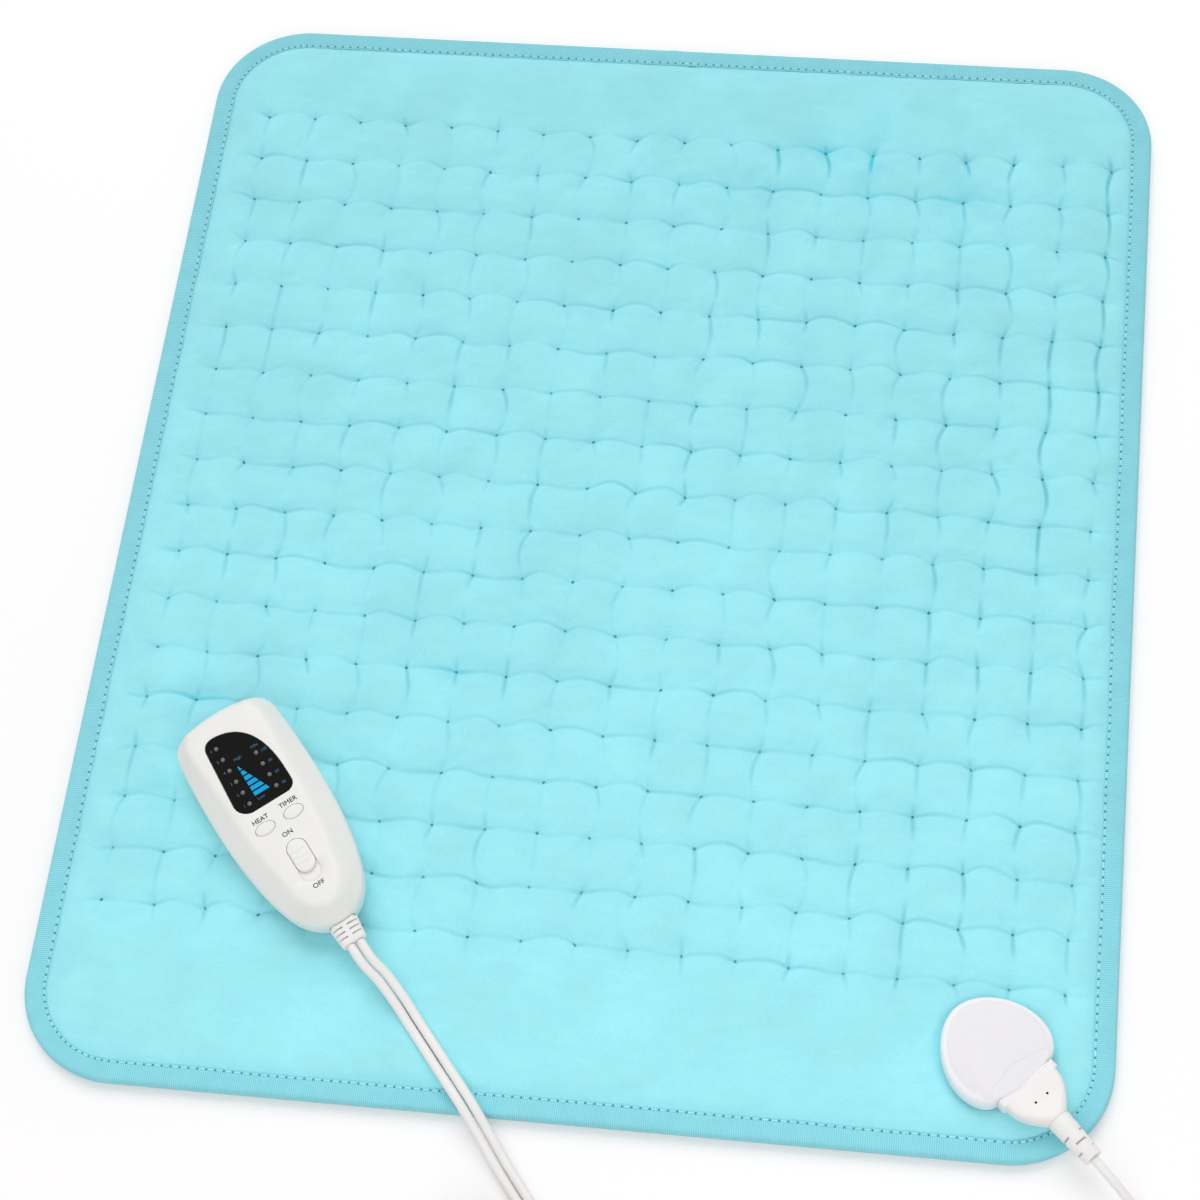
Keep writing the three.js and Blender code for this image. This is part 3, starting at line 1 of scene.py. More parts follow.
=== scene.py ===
import math
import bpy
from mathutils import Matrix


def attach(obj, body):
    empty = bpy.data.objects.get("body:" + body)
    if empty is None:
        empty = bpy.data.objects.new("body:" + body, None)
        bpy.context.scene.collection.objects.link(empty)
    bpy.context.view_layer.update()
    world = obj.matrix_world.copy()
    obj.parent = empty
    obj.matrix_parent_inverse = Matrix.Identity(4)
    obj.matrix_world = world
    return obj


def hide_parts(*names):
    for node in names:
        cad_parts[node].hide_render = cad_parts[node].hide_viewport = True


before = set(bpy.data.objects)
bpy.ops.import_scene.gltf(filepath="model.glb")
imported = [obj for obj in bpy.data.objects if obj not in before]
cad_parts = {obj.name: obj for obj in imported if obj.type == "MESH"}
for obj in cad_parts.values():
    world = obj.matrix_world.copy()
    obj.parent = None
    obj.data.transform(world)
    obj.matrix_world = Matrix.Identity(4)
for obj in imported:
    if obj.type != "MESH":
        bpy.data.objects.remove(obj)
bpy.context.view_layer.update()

from types import SimpleNamespace

import bmesh
import bpy
import numpy as np
from bpy.props import FloatProperty, IntProperty, PointerProperty, StringProperty
from mathutils import Matrix, Vector
from mathutils.geometry import convex_hull_2d

bl_info = {
    "name": "Heating pad looks",
    "version": (1, 0, 0),
    "blender": (4, 5, 0),
    "location": "View3D > Sidebar > Heating pad",
    "description": "Cloth, mouldings, leads and stage for the heating pad with controller",
    "category": "Object",
}

MM = 0.001
PAD_BODY = "pad"
LEAD_BODY = "cable_set"

# Places of the groups, in millimetres, as the solids have them
TO_METRES = Matrix.Scale(MM, 4)
CASE_PLACE = (
    Matrix.Translation((-142.6, -174.7, 13.988))
    @ Matrix.Rotation(math.radians(38.1), 4, "Z")
    @ Matrix.Rotation(math.radians(-4), 4, "Y")
)
CONNECTOR_PLACE = Matrix.Translation((212.5, -269.7, 0)) @ Matrix.Rotation(math.radians(45), 4, "Z")
MAINS_PLUG_PLACE = Matrix.Translation((-62.3, -419.1, 0)) @ Matrix.Rotation(math.radians(-90), 4, "Z")

# Heights of the layers, in millimetres
QUILT_BOTTOM = 2.5
RIM_TOP = 5.4
POCKET_TOP = 5.8
SOCKET_SEAT = 8.7
PLUG_AXIS = 15.3
SPLIT = 9.3
CASE_TOP = 22.0
CASE_CEILING = 19.6
RELIEF_AXIS = 9.15
GAP = 0.3

# Tuft lattice, in millimetres
TUFT_COLUMNS = 19
TUFT_ROWS = 18
TUFT_ORIGIN = (-224.5, -217.5)
TUFT_LEAN = 0.22
TUFT_DROP = 0.38


class HEATPAD_PG_pad(bpy.types.PropertyGroup):
    width: FloatProperty(
        name="Width", description="Pad's shorter side", default=0.508, unit="LENGTH")
    length: FloatProperty(
        name="Length", description="Pad's longer side", default=0.610, unit="LENGTH")
    corner: FloatProperty(
        name="Corner", description="Radius of the pad's corners", default=0.048, unit="LENGTH")
    pitch_across: FloatProperty(
        name="Tufts across", description="Spacing of tufts along a row", default=0.02522, unit="LENGTH")
    pitch_along: FloatProperty(
        name="Tufts along", description="Spacing of the rows of tufts", default=0.02717, unit="LENGTH")
    crown: FloatProperty(
        name="Crown", description="Height of the pillows between tufts", default=0.0118, unit="LENGTH")
    mesh_step: FloatProperty(
        name="Cloth step", description="Spacing of the cloth's vertices", default=0.0014, unit="LENGTH")
    tape_width: FloatProperty(
        name="Tape width", description="Width of the binding tape on each face", default=0.011, unit="LENGTH")
    rib_pitch: FloatProperty(
        name="Rib pitch", description="Spacing of the tape's cross ribs", default=0.0010, unit="LENGTH")
    stitch_pitch: FloatProperty(
        name="Stitch pitch", description="Length of one stitch of the binding", default=0.0042, unit="LENGTH")
    seed: IntProperty(
        name="Seed", description="Start of the random creases", default=11)
    plush_colour: StringProperty(
        name="Plush", description="Colour of the pile, as sRGB hex", default="#a4f0f9")
    root_colour: StringProperty(
        name="Roots", description="Colour of the roots of ruffled pile, as sRGB hex", default="#2fc9e2")
    # Painted shade along the creases, which also stands for the deeper colour of the parted pile
    crease_shade_colour: StringProperty(
        name="Crease", description="Colour down in the parted pile, as sRGB hex", default="#62c0cd")
    # Painted shade in the pinholes at the tufts and in the tape's needle holes
    pinhole_shade_colour: StringProperty(
        name="Tuft", description="Colour of the pinholes at the tufts, as sRGB hex", default="#2a7f8a")
    tape_colour: StringProperty(
        name="Tape", description="Colour of the binding tape, as sRGB hex", default="#93e3f0")
    thread_colour: StringProperty(
        name="Thread", description="Colour of the sewing thread, as sRGB hex", default="#b4eef5")


class HEATPAD_PG_case(bpy.types.PropertyGroup):
    case_colour: StringProperty(
        name="Case", description="Colour of the controller's shells, as sRGB hex", default="#edece8")
    socket_colour: StringProperty(
        name="Socket", description="Colour of the socket on the pad, as sRGB hex", default="#e7e5e9")
    # Painted light: a paler colour for the socket's sloping faces
    edge_light_colour: StringProperty(
        name="Socket rim", description="Colour of the socket's buffed edges, as sRGB hex", default="#f6f5f8")
    lens_colour: StringProperty(
        name="Lens", description="Colour of the display lens, as sRGB hex", default="#0d0c0b")
    lamp_colour: StringProperty(
        name="Lamp", description="Colour of the unlit lamps, as sRGB hex", default="#6a6764")
    ink_colour: StringProperty(
        name="Ink", description="Colour of the legends on the case, as sRGB hex", default="#141516")
    scale_colour: StringProperty(
        name="Scale", description="Colour of the numbers on the lens, as sRGB hex", default="#3f6f96")
    ramp_colour: StringProperty(
        name="Ramp", description="Colour of the heat ramp on the lens, as sRGB hex", default="#06a5e1")


class HEATPAD_PG_leads(bpy.types.PropertyGroup):
    diameter: FloatProperty(
        name="Diameter", description="Diameter of each lead", default=0.0045, unit="LENGTH")
    mains_length: FloatProperty(
        name="Mains lead", description="Length from controller to mains plug", default=1.78, unit="LENGTH")
    pad_length: FloatProperty(
        name="Pad lead", description="Length from controller to connector", default=1.0, unit="LENGTH")
    lead_colour: StringProperty(
        name="Lead", description="Colour of the leads and plugs, as sRGB hex", default="#f0eeec")
    strap_colour: StringProperty(
        name="Strap", description="Colour of the coil straps, as sRGB hex", default="#26272a")


class HEATPAD_PG_stage(bpy.types.PropertyGroup):
    floor_colour: StringProperty(
        name="Floor", description="Colour of the floor, as sRGB hex", default="#e3e1e1")
    key_strength: FloatProperty(
        name="Key light", description="Strength of the broad soft light", default=1.2)
    key_spread: FloatProperty(
        name="Key spread", description="Angle across the broad light",
        default=math.radians(45), subtype="ANGLE")
    near_power: FloatProperty(
        name="Near light", description="Power of the soft lamp by the camera, in watts", default=3.6)
    sky_strength: FloatProperty(
        name="Fill", description="Strength of the even light from all round", default=0.52)


# Materials

TIMES = {"operation": "MULTIPLY"}
MOST = {"operation": "MAXIMUM"}
SMOOTH = {"interpolation_type": "SMOOTHSTEP"}
BLEND = {"data_type": "RGBA"}
TINT = {"data_type": "RGBA", "blend_type": "MULTIPLY"}


def linear(text):
    """sRGB hex as linear red, green, blue and alpha."""
    channels = [int(text[k:k + 2], 16) / 255 for k in (1, 3, 5)]
    return [c / 12.92 if c <= 0.04045 else ((c + 0.055) / 1.055) ** 2.4 for c in channels] + [1.0]


def shaded(text, factor):
    """A hex colour made lighter or darker, linear."""
    return [min(1.0, c * factor) for c in linear(text)[:3]] + [1.0]


def add_node(tree, kind, settings=None, **inputs):
    """Adds a node; inputs are named with _ for a space, or by number as i0, i1, and are values or sockets."""
    made = tree.nodes.new(kind)
    for key, value in (settings or {}).items():
        setattr(made, key, value)
    for key, value in inputs.items():
        by_number = key[0] == "i" and key[1:].isdigit()
        socket = made.inputs[int(key[1:]) if by_number else key.replace("_", " ")]
        if isinstance(value, bpy.types.NodeSocket):
            tree.links.new(value, socket)
        else:
            socket.default_value = value
    return made


def new_material(name, **constants):
    """A material with a Principled shader whose constant sockets are set directly."""
    made = bpy.data.materials.new(name)
    made.use_nodes = True
    tree = made.node_tree
    shader = tree.nodes["Principled BSDF"]
    for key, value in constants.items():
        shader.inputs[key.replace("_", " ")].default_value = value
    return made, tree, shader


def mottled(tree, place, size_mm, low, high, detail=3.0):
    """Noise of a size in millimetres, from low to high."""
    noise = add_node(tree, "ShaderNodeTexNoise", Vector=place, Scale=1 / (size_mm * MM), Detail=detail)
    spread = add_node(
        tree, "ShaderNodeMapRange", i0=noise.outputs["Fac"],
        From_Min=0.3, From_Max=0.7, To_Min=low, To_Max=high)
    return spread.outputs["Result"]


def plush_material(pad):
    """Brushed polyester plush: short pile, paler where brushed flat, with painted shade along the creases and
    in the pinholes.
    """
    made, tree, shader = new_material(
        "polyester_plush", Roughness=0.95, Specular_IOR_Level=0.15, Sheen_Weight=0.25, Sheen_Roughness=0.5)
    place = add_node(tree, "ShaderNodeTexCoord").outputs["Object"]
    lattice = add_node(tree, "ShaderNodeUVMap", {"uv_map": "lattice"})
    part = add_node(tree, "ShaderNodeSeparateXYZ", i0=lattice.outputs["UV"])
    # Colour layer: strengths of the painted crease and pinhole shade, and where the pile is ruffled
    shade_and_ruffle = add_node(tree, "ShaderNodeVertexColor", {"layer_name": "shade_and_ruffle"})
    strength = add_node(tree, "ShaderNodeSeparateColor", i0=shade_and_ruffle.outputs["Color"])
    ruffled = shade_and_ruffle.outputs["Alpha"]
    # Distance in millimetres to the nearest column and row of tufts, with the painted crease shade along each
    lines, squares = [], []
    for axis, pitch, channel in (("X", pad.pitch_across, "Green"), ("Y", pad.pitch_along, "Red")):
        nearest = add_node(tree, "ShaderNodeMath", {"operation": "ROUND"}, i0=part.outputs[axis])
        offset = add_node(
            tree, "ShaderNodeMath", {"operation": "SUBTRACT"}, i0=part.outputs[axis], i1=nearest.outputs[0])
        away = add_node(tree, "ShaderNodeMath", {"operation": "ABSOLUTE"}, i0=offset.outputs[0])
        gap = add_node(tree, "ShaderNodeMath", TIMES, i0=away.outputs[0], i1=pitch / MM)
        narrow = add_node(
            tree, "ShaderNodeMapRange", SMOOTH, i0=gap.outputs[0],
            From_Min=0.1, From_Max=1.9, To_Min=1.0, To_Max=0.0)
        line = add_node(tree, "ShaderNodeMath", TIMES, i0=narrow.outputs[0], i1=strength.outputs[channel])
        square = add_node(tree, "ShaderNodeMath", {"operation": "POWER"}, i0=gap.outputs[0], i1=2.0)
        lines.append(line.outputs[0])
        squares.append(square.outputs[0])
    crease_shade_lines = add_node(tree, "ShaderNodeMath", MOST, i0=lines[0], i1=lines[1])
    squared = add_node(tree, "ShaderNodeMath", {"operation": "ADD"}, i0=squares[0], i1=squares[1])
    # Painted shade in the pinhole at each tuft
    pinhole = add_node(
        tree, "ShaderNodeMapRange", SMOOTH, i0=squared.outputs[0],
        From_Min=0.05, From_Max=1.0, To_Min=1.0, To_Max=0.0)
    pinhole_shade = add_node(tree, "ShaderNodeMath", TIMES, i0=pinhole.outputs[0], i1=strength.outputs["Blue"])
    # Brushing leaves patches a few centimetres wide, and the pile itself shows as a fine grain
    brushed = mottled(tree, place, 34, 0.0, 1.0)
    stroke = add_node(tree, "ShaderNodeMapping", Vector=place, Scale=(0.3, 1.0, 1.0))
    streaked = mottled(tree, stroke.outputs[0], 6, 0.0, 1.0)
    grain = mottled(tree, place, 1.1, 0.0, 1.0, 2.0)
    # Ruffled pile shows its deep roots in soft patches; along the creases painted shade darkens the pile,
    # deeper where it is ruffled
    patch = mottled(tree, place, 16, 0.0, 1.0, 1.0)
    patchy = add_node(
        tree, "ShaderNodeMapRange", SMOOTH, i0=patch, From_Min=0.3, From_Max=0.8, To_Min=0.04, To_Max=0.2)
    bared = add_node(tree, "ShaderNodeMath", TIMES, i0=patchy.outputs[0], i1=ruffled)
    deep = add_node(
        tree, "ShaderNodeMix", BLEND, i0=ruffled, i6=linear(pad.crease_shade_colour), i7=linear(pad.root_colour))
    share = add_node(
        tree, "ShaderNodeMapRange", i0=ruffled, From_Min=0.0, From_Max=1.0, To_Min=0.5, To_Max=0.85)
    soft = add_node(tree, "ShaderNodeMath", TIMES, i0=crease_shade_lines.outputs[0], i1=share.outputs[0])
    tone = add_node(
        tree, "ShaderNodeMix", BLEND,
        i0=brushed, i6=shaded(pad.plush_colour, 0.97), i7=shaded(pad.plush_colour, 1.05))
    # Coats over the tone: random streaks and grain, ruffled roots, painted crease shade and painted pinhole
    # shade
    coats = [
        (TINT, streaked, (0.95, 0.965, 0.97, 1.0)),
        (TINT, grain, (0.93, 0.955, 0.96, 1.0)),
        (BLEND, bared.outputs[0], linear(pad.root_colour)),
        (BLEND, soft.outputs[0], deep.outputs[2]),
        (BLEND, pinhole_shade.outputs[0], linear(pad.pinhole_shade_colour)),
    ]
    for how, amount, over in coats:
        tone = add_node(tree, "ShaderNodeMix", how, i0=amount, i6=tone.outputs[2], i7=over)
    pile = add_node(tree, "ShaderNodeTexNoise", Vector=place, Scale=1 / (0.9 * MM), Detail=3.0)
    bump = add_node(tree, "ShaderNodeBump", Strength=0.35, Distance=0.25 * MM, Height=pile.outputs["Fac"])
    tree.links.new(tone.outputs[2], shader.inputs["Base Color"])
    tree.links.new(bump.outputs["Normal"], shader.inputs["Normal"])
    return made


def tape_material(pad):
    """Woven polyester tape: fine cross ribs with a dull sheen and painted light and shade across them, and
    painted shade in the needle holes along the stitch line.
    """
    made, tree, shader = new_material(
        "woven_polyester_tape", Roughness=0.8, Specular_IOR_Level=0.3, Sheen_Weight=0.2, Sheen_Roughness=0.4)
    along = add_node(tree, "ShaderNodeUVMap", {"uv_map": "along"})
    part = add_node(tree, "ShaderNodeSeparateXYZ", i0=along.outputs["UV"])
    turns = add_node(
        tree, "ShaderNodeMath", TIMES, i0=part.outputs["X"], i1=2 * math.pi / (pad.rib_pitch / MM))
    rib = add_node(tree, "ShaderNodeMath", {"operation": "SINE"}, i0=turns.outputs[0])
    height = add_node(
        tree, "ShaderNodeMapRange", i0=rib.outputs[0], From_Min=-1.0, From_Max=1.0, To_Min=0.0, To_Max=1.0)
    place = add_node(tree, "ShaderNodeTexCoord").outputs["Object"]
    worn = mottled(tree, place, 9, 0.0, 1.0)
    # Painted shade in the needle holes along the stitch line
    beat = add_node(
        tree, "ShaderNodeMath", {"operation": "PINGPONG"}, i0=part.outputs["X"], i1=stitch_run(pad)[0] / 2)
    hole = add_node(
        tree, "ShaderNodeMapRange", SMOOTH, i0=beat.outputs[0],
        From_Min=0.3, From_Max=0.8, To_Min=1.0, To_Max=0.0)
    offset = add_node(
        tree, "ShaderNodeMath", {"operation": "SUBTRACT"}, i0=part.outputs["Y"], i1=STITCH_INSET)
    off_line = add_node(tree, "ShaderNodeMath", {"operation": "ABSOLUTE"}, i0=offset.outputs[0])
    on_line = add_node(
        tree, "ShaderNodeMapRange", SMOOTH, i0=off_line.outputs[0],
        From_Min=0.25, From_Max=0.8, To_Min=0.85, To_Max=0.0)
    needle = add_node(tree, "ShaderNodeMath", TIMES, i0=hole.outputs[0], i1=on_line.outputs[0])
    # Painted light and shade across the ribs: crests paler, hollows darker
    tone = add_node(
        tree, "ShaderNodeMix", BLEND,
        i0=height.outputs[0], i6=shaded(pad.tape_colour, 0.84), i7=shaded(pad.tape_colour, 1.06))
    tone = add_node(
        tree, "ShaderNodeMix", TINT, i0=worn, i6=tone.outputs[2], i7=(0.92, 0.95, 0.95, 1.0))
    tone = add_node(
        tree, "ShaderNodeMix", BLEND, i0=needle.outputs[0], i6=tone.outputs[2], i7=linear(pad.pinhole_shade_colour))
    bump = add_node(tree, "ShaderNodeBump", Strength=0.5, Distance=0.25 * MM, Height=height.outputs[0])
    tree.links.new(tone.outputs[2], shader.inputs["Base Color"])
    tree.links.new(bump.outputs["Normal"], shader.inputs["Normal"])
    return made


def grained_material(name, colour, grain_mm, spread, bump_mm, rough=(0.4, 0.5), **constants):
    """Base for the plain finishes: tone, roughness and surface vary with a grain of a size in millimetres."""
    made, tree, shader = new_material(name, **constants)
    place = add_node(tree, "ShaderNodeTexCoord").outputs["Object"]
    patch = mottled(tree, place, grain_mm * 25, 0.0, 1.0)
    tone = add_node(
        tree, "ShaderNodeMix", BLEND, i0=patch, i6=shaded(colour, 1 - spread), i7=shaded(colour, 1 + spread))
    gloss = mottled(tree, place, grain_mm * 12, rough[0], rough[1])
    grain = add_node(tree, "ShaderNodeTexNoise", Vector=place, Scale=1 / (grain_mm * MM), Detail=2.0)
    bump = add_node(tree, "ShaderNodeBump", Strength=0.5, Distance=bump_mm * MM, Height=grain.outputs["Fac"])
    tree.links.new(tone.outputs[2], shader.inputs["Base Color"])
    tree.links.new(gloss, shader.inputs["Roughness"])
    tree.links.new(bump.outputs["Normal"], shader.inputs["Normal"])
    return made


def build_materials():
    """All finishes by the names of the record's slots."""
    scene = bpy.context.scene
    pad, case, leads = scene.heatpad_pad, scene.heatpad_case, scene.heatpad_leads
    return {
        "plush": plush_material(pad),
        "binding": tape_material(pad),
        # Spun polyester thread: a dull twist
        "thread": grained_material("polyester_thread", pad.thread_colour, 0.3, 0.08, 0.08, (0.6, 0.75)),
        # Needled felt: matted fibres, no gloss
        "felt": grained_material("needled_felt", "#d8dcdc", 0.8, 0.06, 0.2, (0.9, 1.0), Sheen_Weight=0.2),
        # Silicone wire cover: smooth and slightly soft to the light
        "wire": grained_material("silicone_wire_cover", "#e9e6df", 0.5, 0.02, 0.01, (0.4, 0.5)),
        # Moulded ABS with a fine spark texture: satin, with a soft broad highlight
        "case": grained_material("moulded_abs_satin", case.case_colour, 0.45, 0.012, 0.012, (0.36, 0.44)),
        # Moulded ABS off a polished tool: brighter highlight than the case
        "socket": grained_material(
            "moulded_abs_semigloss", case.socket_colour, 0.6, 0.008, 0.002, (0.3, 0.36)),
        # The same moulding on the socket's sloping faces, made paler than the face as painted light on its
        # edges
        "rim": grained_material("moulded_abs_painted_edge_light", case.edge_light_colour, 0.6, 0.006, 0.0004, (0.36, 0.42)),
        # Soft PVC: satin, slightly uneven along its length
        "lead": grained_material("soft_pvc", leads.lead_colour, 0.7, 0.015, 0.012, (0.38, 0.48)),
        # Back-printed polycarbonate film with a velvet face: deep black, hardly any reflection
        "lens": grained_material(
            "velvet_polycarbonate_film", case.lens_colour, 1.2, 0.15, 0.002, (0.42, 0.52),
            Specular_IOR_Level=0.08),
        # Clear grey epoxy lamp: glossy dome
        "lamp": grained_material("clear_epoxy_lamp", case.lamp_colour, 0.5, 0.1, 0.004, (0.12, 0.2)),
        # Pad-printed inks: flat and slightly uneven
        "ink": grained_material(
            "printed_grey_ink", case.ink_colour, 0.3, 0.08, 0.004, (0.5, 0.6), Specular_IOR_Level=0.2),
        "scale": grained_material(
            "printed_blue_grey_ink", case.scale_colour, 0.3, 0.08, 0.004, (0.4, 0.5), Specular_IOR_Level=0.1),
        "ramp": grained_material(
            "printed_blue_ink", case.ramp_colour, 0.3, 0.06, 0.004, (0.4, 0.5), Specular_IOR_Level=0.1),
        # Coated glass laminate: green mask with a faint weave under it
        "board": grained_material("coated_glass_laminate", "#2f6b45", 0.5, 0.1, 0.02, (0.25, 0.4)),
        # Moulded epoxy: matt black component cases
        "part": grained_material("moulded_epoxy", "#26272a", 0.3, 0.12, 0.02, (0.5, 0.65)),
        # Tin plate: bright, with drawn marks
        "tin": grained_material("tin_plated_steel", "#b9bcc0", 0.4, 0.06, 0.006, (0.25, 0.4), Metallic=1.0),
        # Plain brass: warm, lightly tarnished
        "brass": grained_material("plain_brass", "#c6a75c", 0.5, 0.1, 0.004, (0.2, 0.35), Metallic=1.0),
        # Hook-and-loop strap: black woven nylon with a fuzzy face
        "tie": grained_material(
            "woven_nylon_strap", leads.strap_colour, 0.5, 0.2, 0.15, (0.8, 0.95), Sheen_Weight=0.3),
    }


FINISH = {}


# Outlines and solids, in millimetres

def bezier(*corners, count=24):
    """Points of a quadratic or cubic curve, without its last."""
    t = np.linspace(0, 1, count, endpoint=False)[:, None]
    points = [np.asarray(c, float)[None, :] for c in corners]
    while len(points) > 1:
        points = [a * (1 - t) + b * t for a, b in zip(points, points[1:])]
    return points[0]


def arc(x, y, rx, ry, start, count=18):
    """A quarter of an ellipse from a start angle in degrees, without its last point."""
    t = np.radians(start) + np.linspace(0, math.pi / 2, count, endpoint=False)
    return np.stack([x + rx * np.cos(t), y + ry * np.sin(t)], axis=1)


def inset(points, distance):
    """Moves the points of a counter-clockwise outline inwards."""
    before = points - np.roll(points, 1, axis=0)
    after = np.roll(points, -1, axis=0) - points
    before /= np.linalg.norm(before, axis=1)[:, None]
    after /= np.linalg.norm(after, axis=1)[:, None]
    normal = np.stack([-before[:, 1] - after[:, 1], before[:, 0] + after[:, 0]], axis=1)
    normal /= np.linalg.norm(normal, axis=1)[:, None]
    mitre = np.maximum(0.5, -before[:, 1] * normal[:, 0] + before[:, 0] * normal[:, 1])
    return points + normal * (np.broadcast_to(distance, mitre.shape) / mitre)[:, None]


def ring(points, z):
    """Lifts outline points to a height, or to heights of their own."""
    return np.column_stack([points, np.broadcast_to(z, len(points))])


def new_object(name, vertices, faces):
    """A mesh object in millimetres, not yet placed."""
    mesh = bpy.data.meshes.new(name)
    mesh.from_pydata([tuple(v) for v in vertices], [], faces)
    mesh.update()
    made = bpy.data.objects.new(name, mesh)
    bpy.context.scene.collection.objects.link(made)
    return made


def skin(rings, loops=False):
    """Vertices and faces over a row of rings with equal counts, capped unless the row is a loop."""
    count = len(rings[0])
    vertices = np.concatenate(rings)
    faces = []
    for level in range(len(rings) if loops else len(rings) - 1):
        low, high = level * count, ((level + 1) % len(rings)) * count
        for k in range(count):
            n = (k + 1) % count
            faces.append((low + k, low + n, high + n, high + k))
    if not loops:
        top = (len(rings) - 1) * count
        faces.append(tuple(range(count - 1, -1, -1)))
        faces.append(tuple(range(top, top + count)))
    return vertices, faces


def loft(name, rings, loops=False):
    return new_object(name, *skin(rings, loops))


def joined(name, parts):
    """One object from several sets of vertices and faces."""
    vertices, faces, base = [], [], 0
    for points, sides in parts:
        vertices.append(points)
        faces += [tuple(k + base for k in side) for side in sides]
        base += len(points)
    return new_object(name, np.concatenate(vertices), faces)


def prism(points, low, high):
    return loft("cutter", [ring(points, low), ring(points, high)])


def block(x0, x1, y0, y1, z0, z1):
    return prism(np.array([(x0, y0), (x1, y0), (x1, y1), (x0, y1)], float), z0, z1)


def bar(middle, half):
    """A block by its middle and half sizes."""
    (x, y, z), (a, b, c) = middle, half
    return block(x - a, x + a, y - b, y + b, z - c, z + c)


def circle(radius, x=0.0, y=0.0, count=32):
    t = np.linspace(0, 2 * math.pi, count, endpoint=False)
    return np.stack([x + radius * np.cos(t), y + radius * np.sin(t)], axis=1)


def rod(radius, x, y, low, high, count=32):
    return prism(circle(radius, x, y, count), low, high)


def section(half_x, half_z, corner, y, z, count=10):
    """A rounded section across the Y axis; y may be a function of x."""
    corner = min(corner, half_x - 0.01, half_z - 0.01)
    side = np.linspace(half_x - corner, corner - half_x, count, endpoint=False)
    flat = np.concatenate([
        arc(half_x - corner, -half_z + corner, corner, corner, -90, count),
        arc(half_x - corner, half_z - corner, corner, corner, 0, count),
        np.column_stack([side, np.full(count, half_z)]),
        arc(-half_x + corner, half_z - corner, corner, corner, 90, count),
        arc(-half_x + corner, -half_z + corner, corner, corner, 180, count),
        np.column_stack([-side, np.full(count, -half_z)]),
    ])
    depth = y(flat[:, 0]) if callable(y) else np.full(len(flat), float(y))
    return np.column_stack([flat[:, 0], depth, z + flat[:, 1]])


def carve(target, cutters, operation="DIFFERENCE"):
    """Cuts or joins solids into the target and removes them."""
    for cutter in cutters:
        change = target.modifiers.new("carve", "BOOLEAN")
        change.object = cutter
        change.operation = operation
        change.solver = "EXACT"
    graph = bpy.context.evaluated_depsgraph_get()
    carved = bpy.data.meshes.new_from_object(target.evaluated_get(graph))
    if not carved.polygons:
        raise RuntimeError(f"carving left nothing of {target.name}")
    target.modifiers.clear()
    target.data = carved
    for cutter in cutters:
        bpy.data.objects.remove(cutter)
    return target


def settle(piece, place, finish, body, nodes=(), angle=32):
    """Places a piece in metres, gives it a finish and lets it ride on its body."""
    mesh = piece.data
    mesh.transform(TO_METRES @ place)
    mesh.materials.clear()
    mesh.materials.append(FINISH[finish])
    mesh.shade_smooth()
    mesh.set_sharp_from_angle(angle=math.radians(angle))
    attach(piece, body)
    if nodes:
        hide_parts(*nodes)
    return piece


def dress(finish, *names):
    """Gives nodes that keep their own shape a finish."""
    for name in names:
        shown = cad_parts[name]
        shown.data.materials.clear()
        shown.data.materials.append(FINISH[finish])


# Camera and stage

CAMERA_TURN, CAMERA_RISE, CAMERA_ROLL = (math.radians(a) for a in (14.13, 61.7, -8.46))
CAMERA_TARGET = Vector((-7.56, -33.93, 0)) * MM
CAMERA_AWAY = 1.49335
FLOOR_HALF = 4.0
FLOOR_DROP = 0.0004


def photo_camera():
    """The camera at the photograph's viewing angle."""
    a, e, r = CAMERA_TURN, CAMERA_RISE, CAMERA_ROLL
    back = Vector((math.sin(a) * math.cos(e), -math.cos(a) * math.cos(e), math.sin(e)))
    right = Vector((math.cos(a), math.sin(a), 0))
    up = back.cross(right)
    right, up = math.cos(r) * right + math.sin(r) * up, -math.sin(r) * right + math.cos(r) * up
    eye = CAMERA_TARGET + back * CAMERA_AWAY
    turn = Matrix((right, up, back)).transposed().to_4x4()
    data = bpy.data.cameras.new("photo_camera")
    data.lens = 90.057
    data.sensor_width = 36
    data.sensor_fit = "HORIZONTAL"
    data.clip_start = 0.05
    made = bpy.data.objects.new("photo_camera", data)
    made.matrix_world = Matrix.Translation(eye) @ turn
    bpy.context.scene.collection.objects.link(made)
    bpy.context.scene.camera = made


def aim(obj, eye, target):
    """Points a light's own -Z at a target."""
    direction = (Vector(target) - Vector(eye)).to_track_quat("-Z", "Y")
    obj.matrix_world = Matrix.Translation(eye) @ direction.to_matrix().to_4x4()


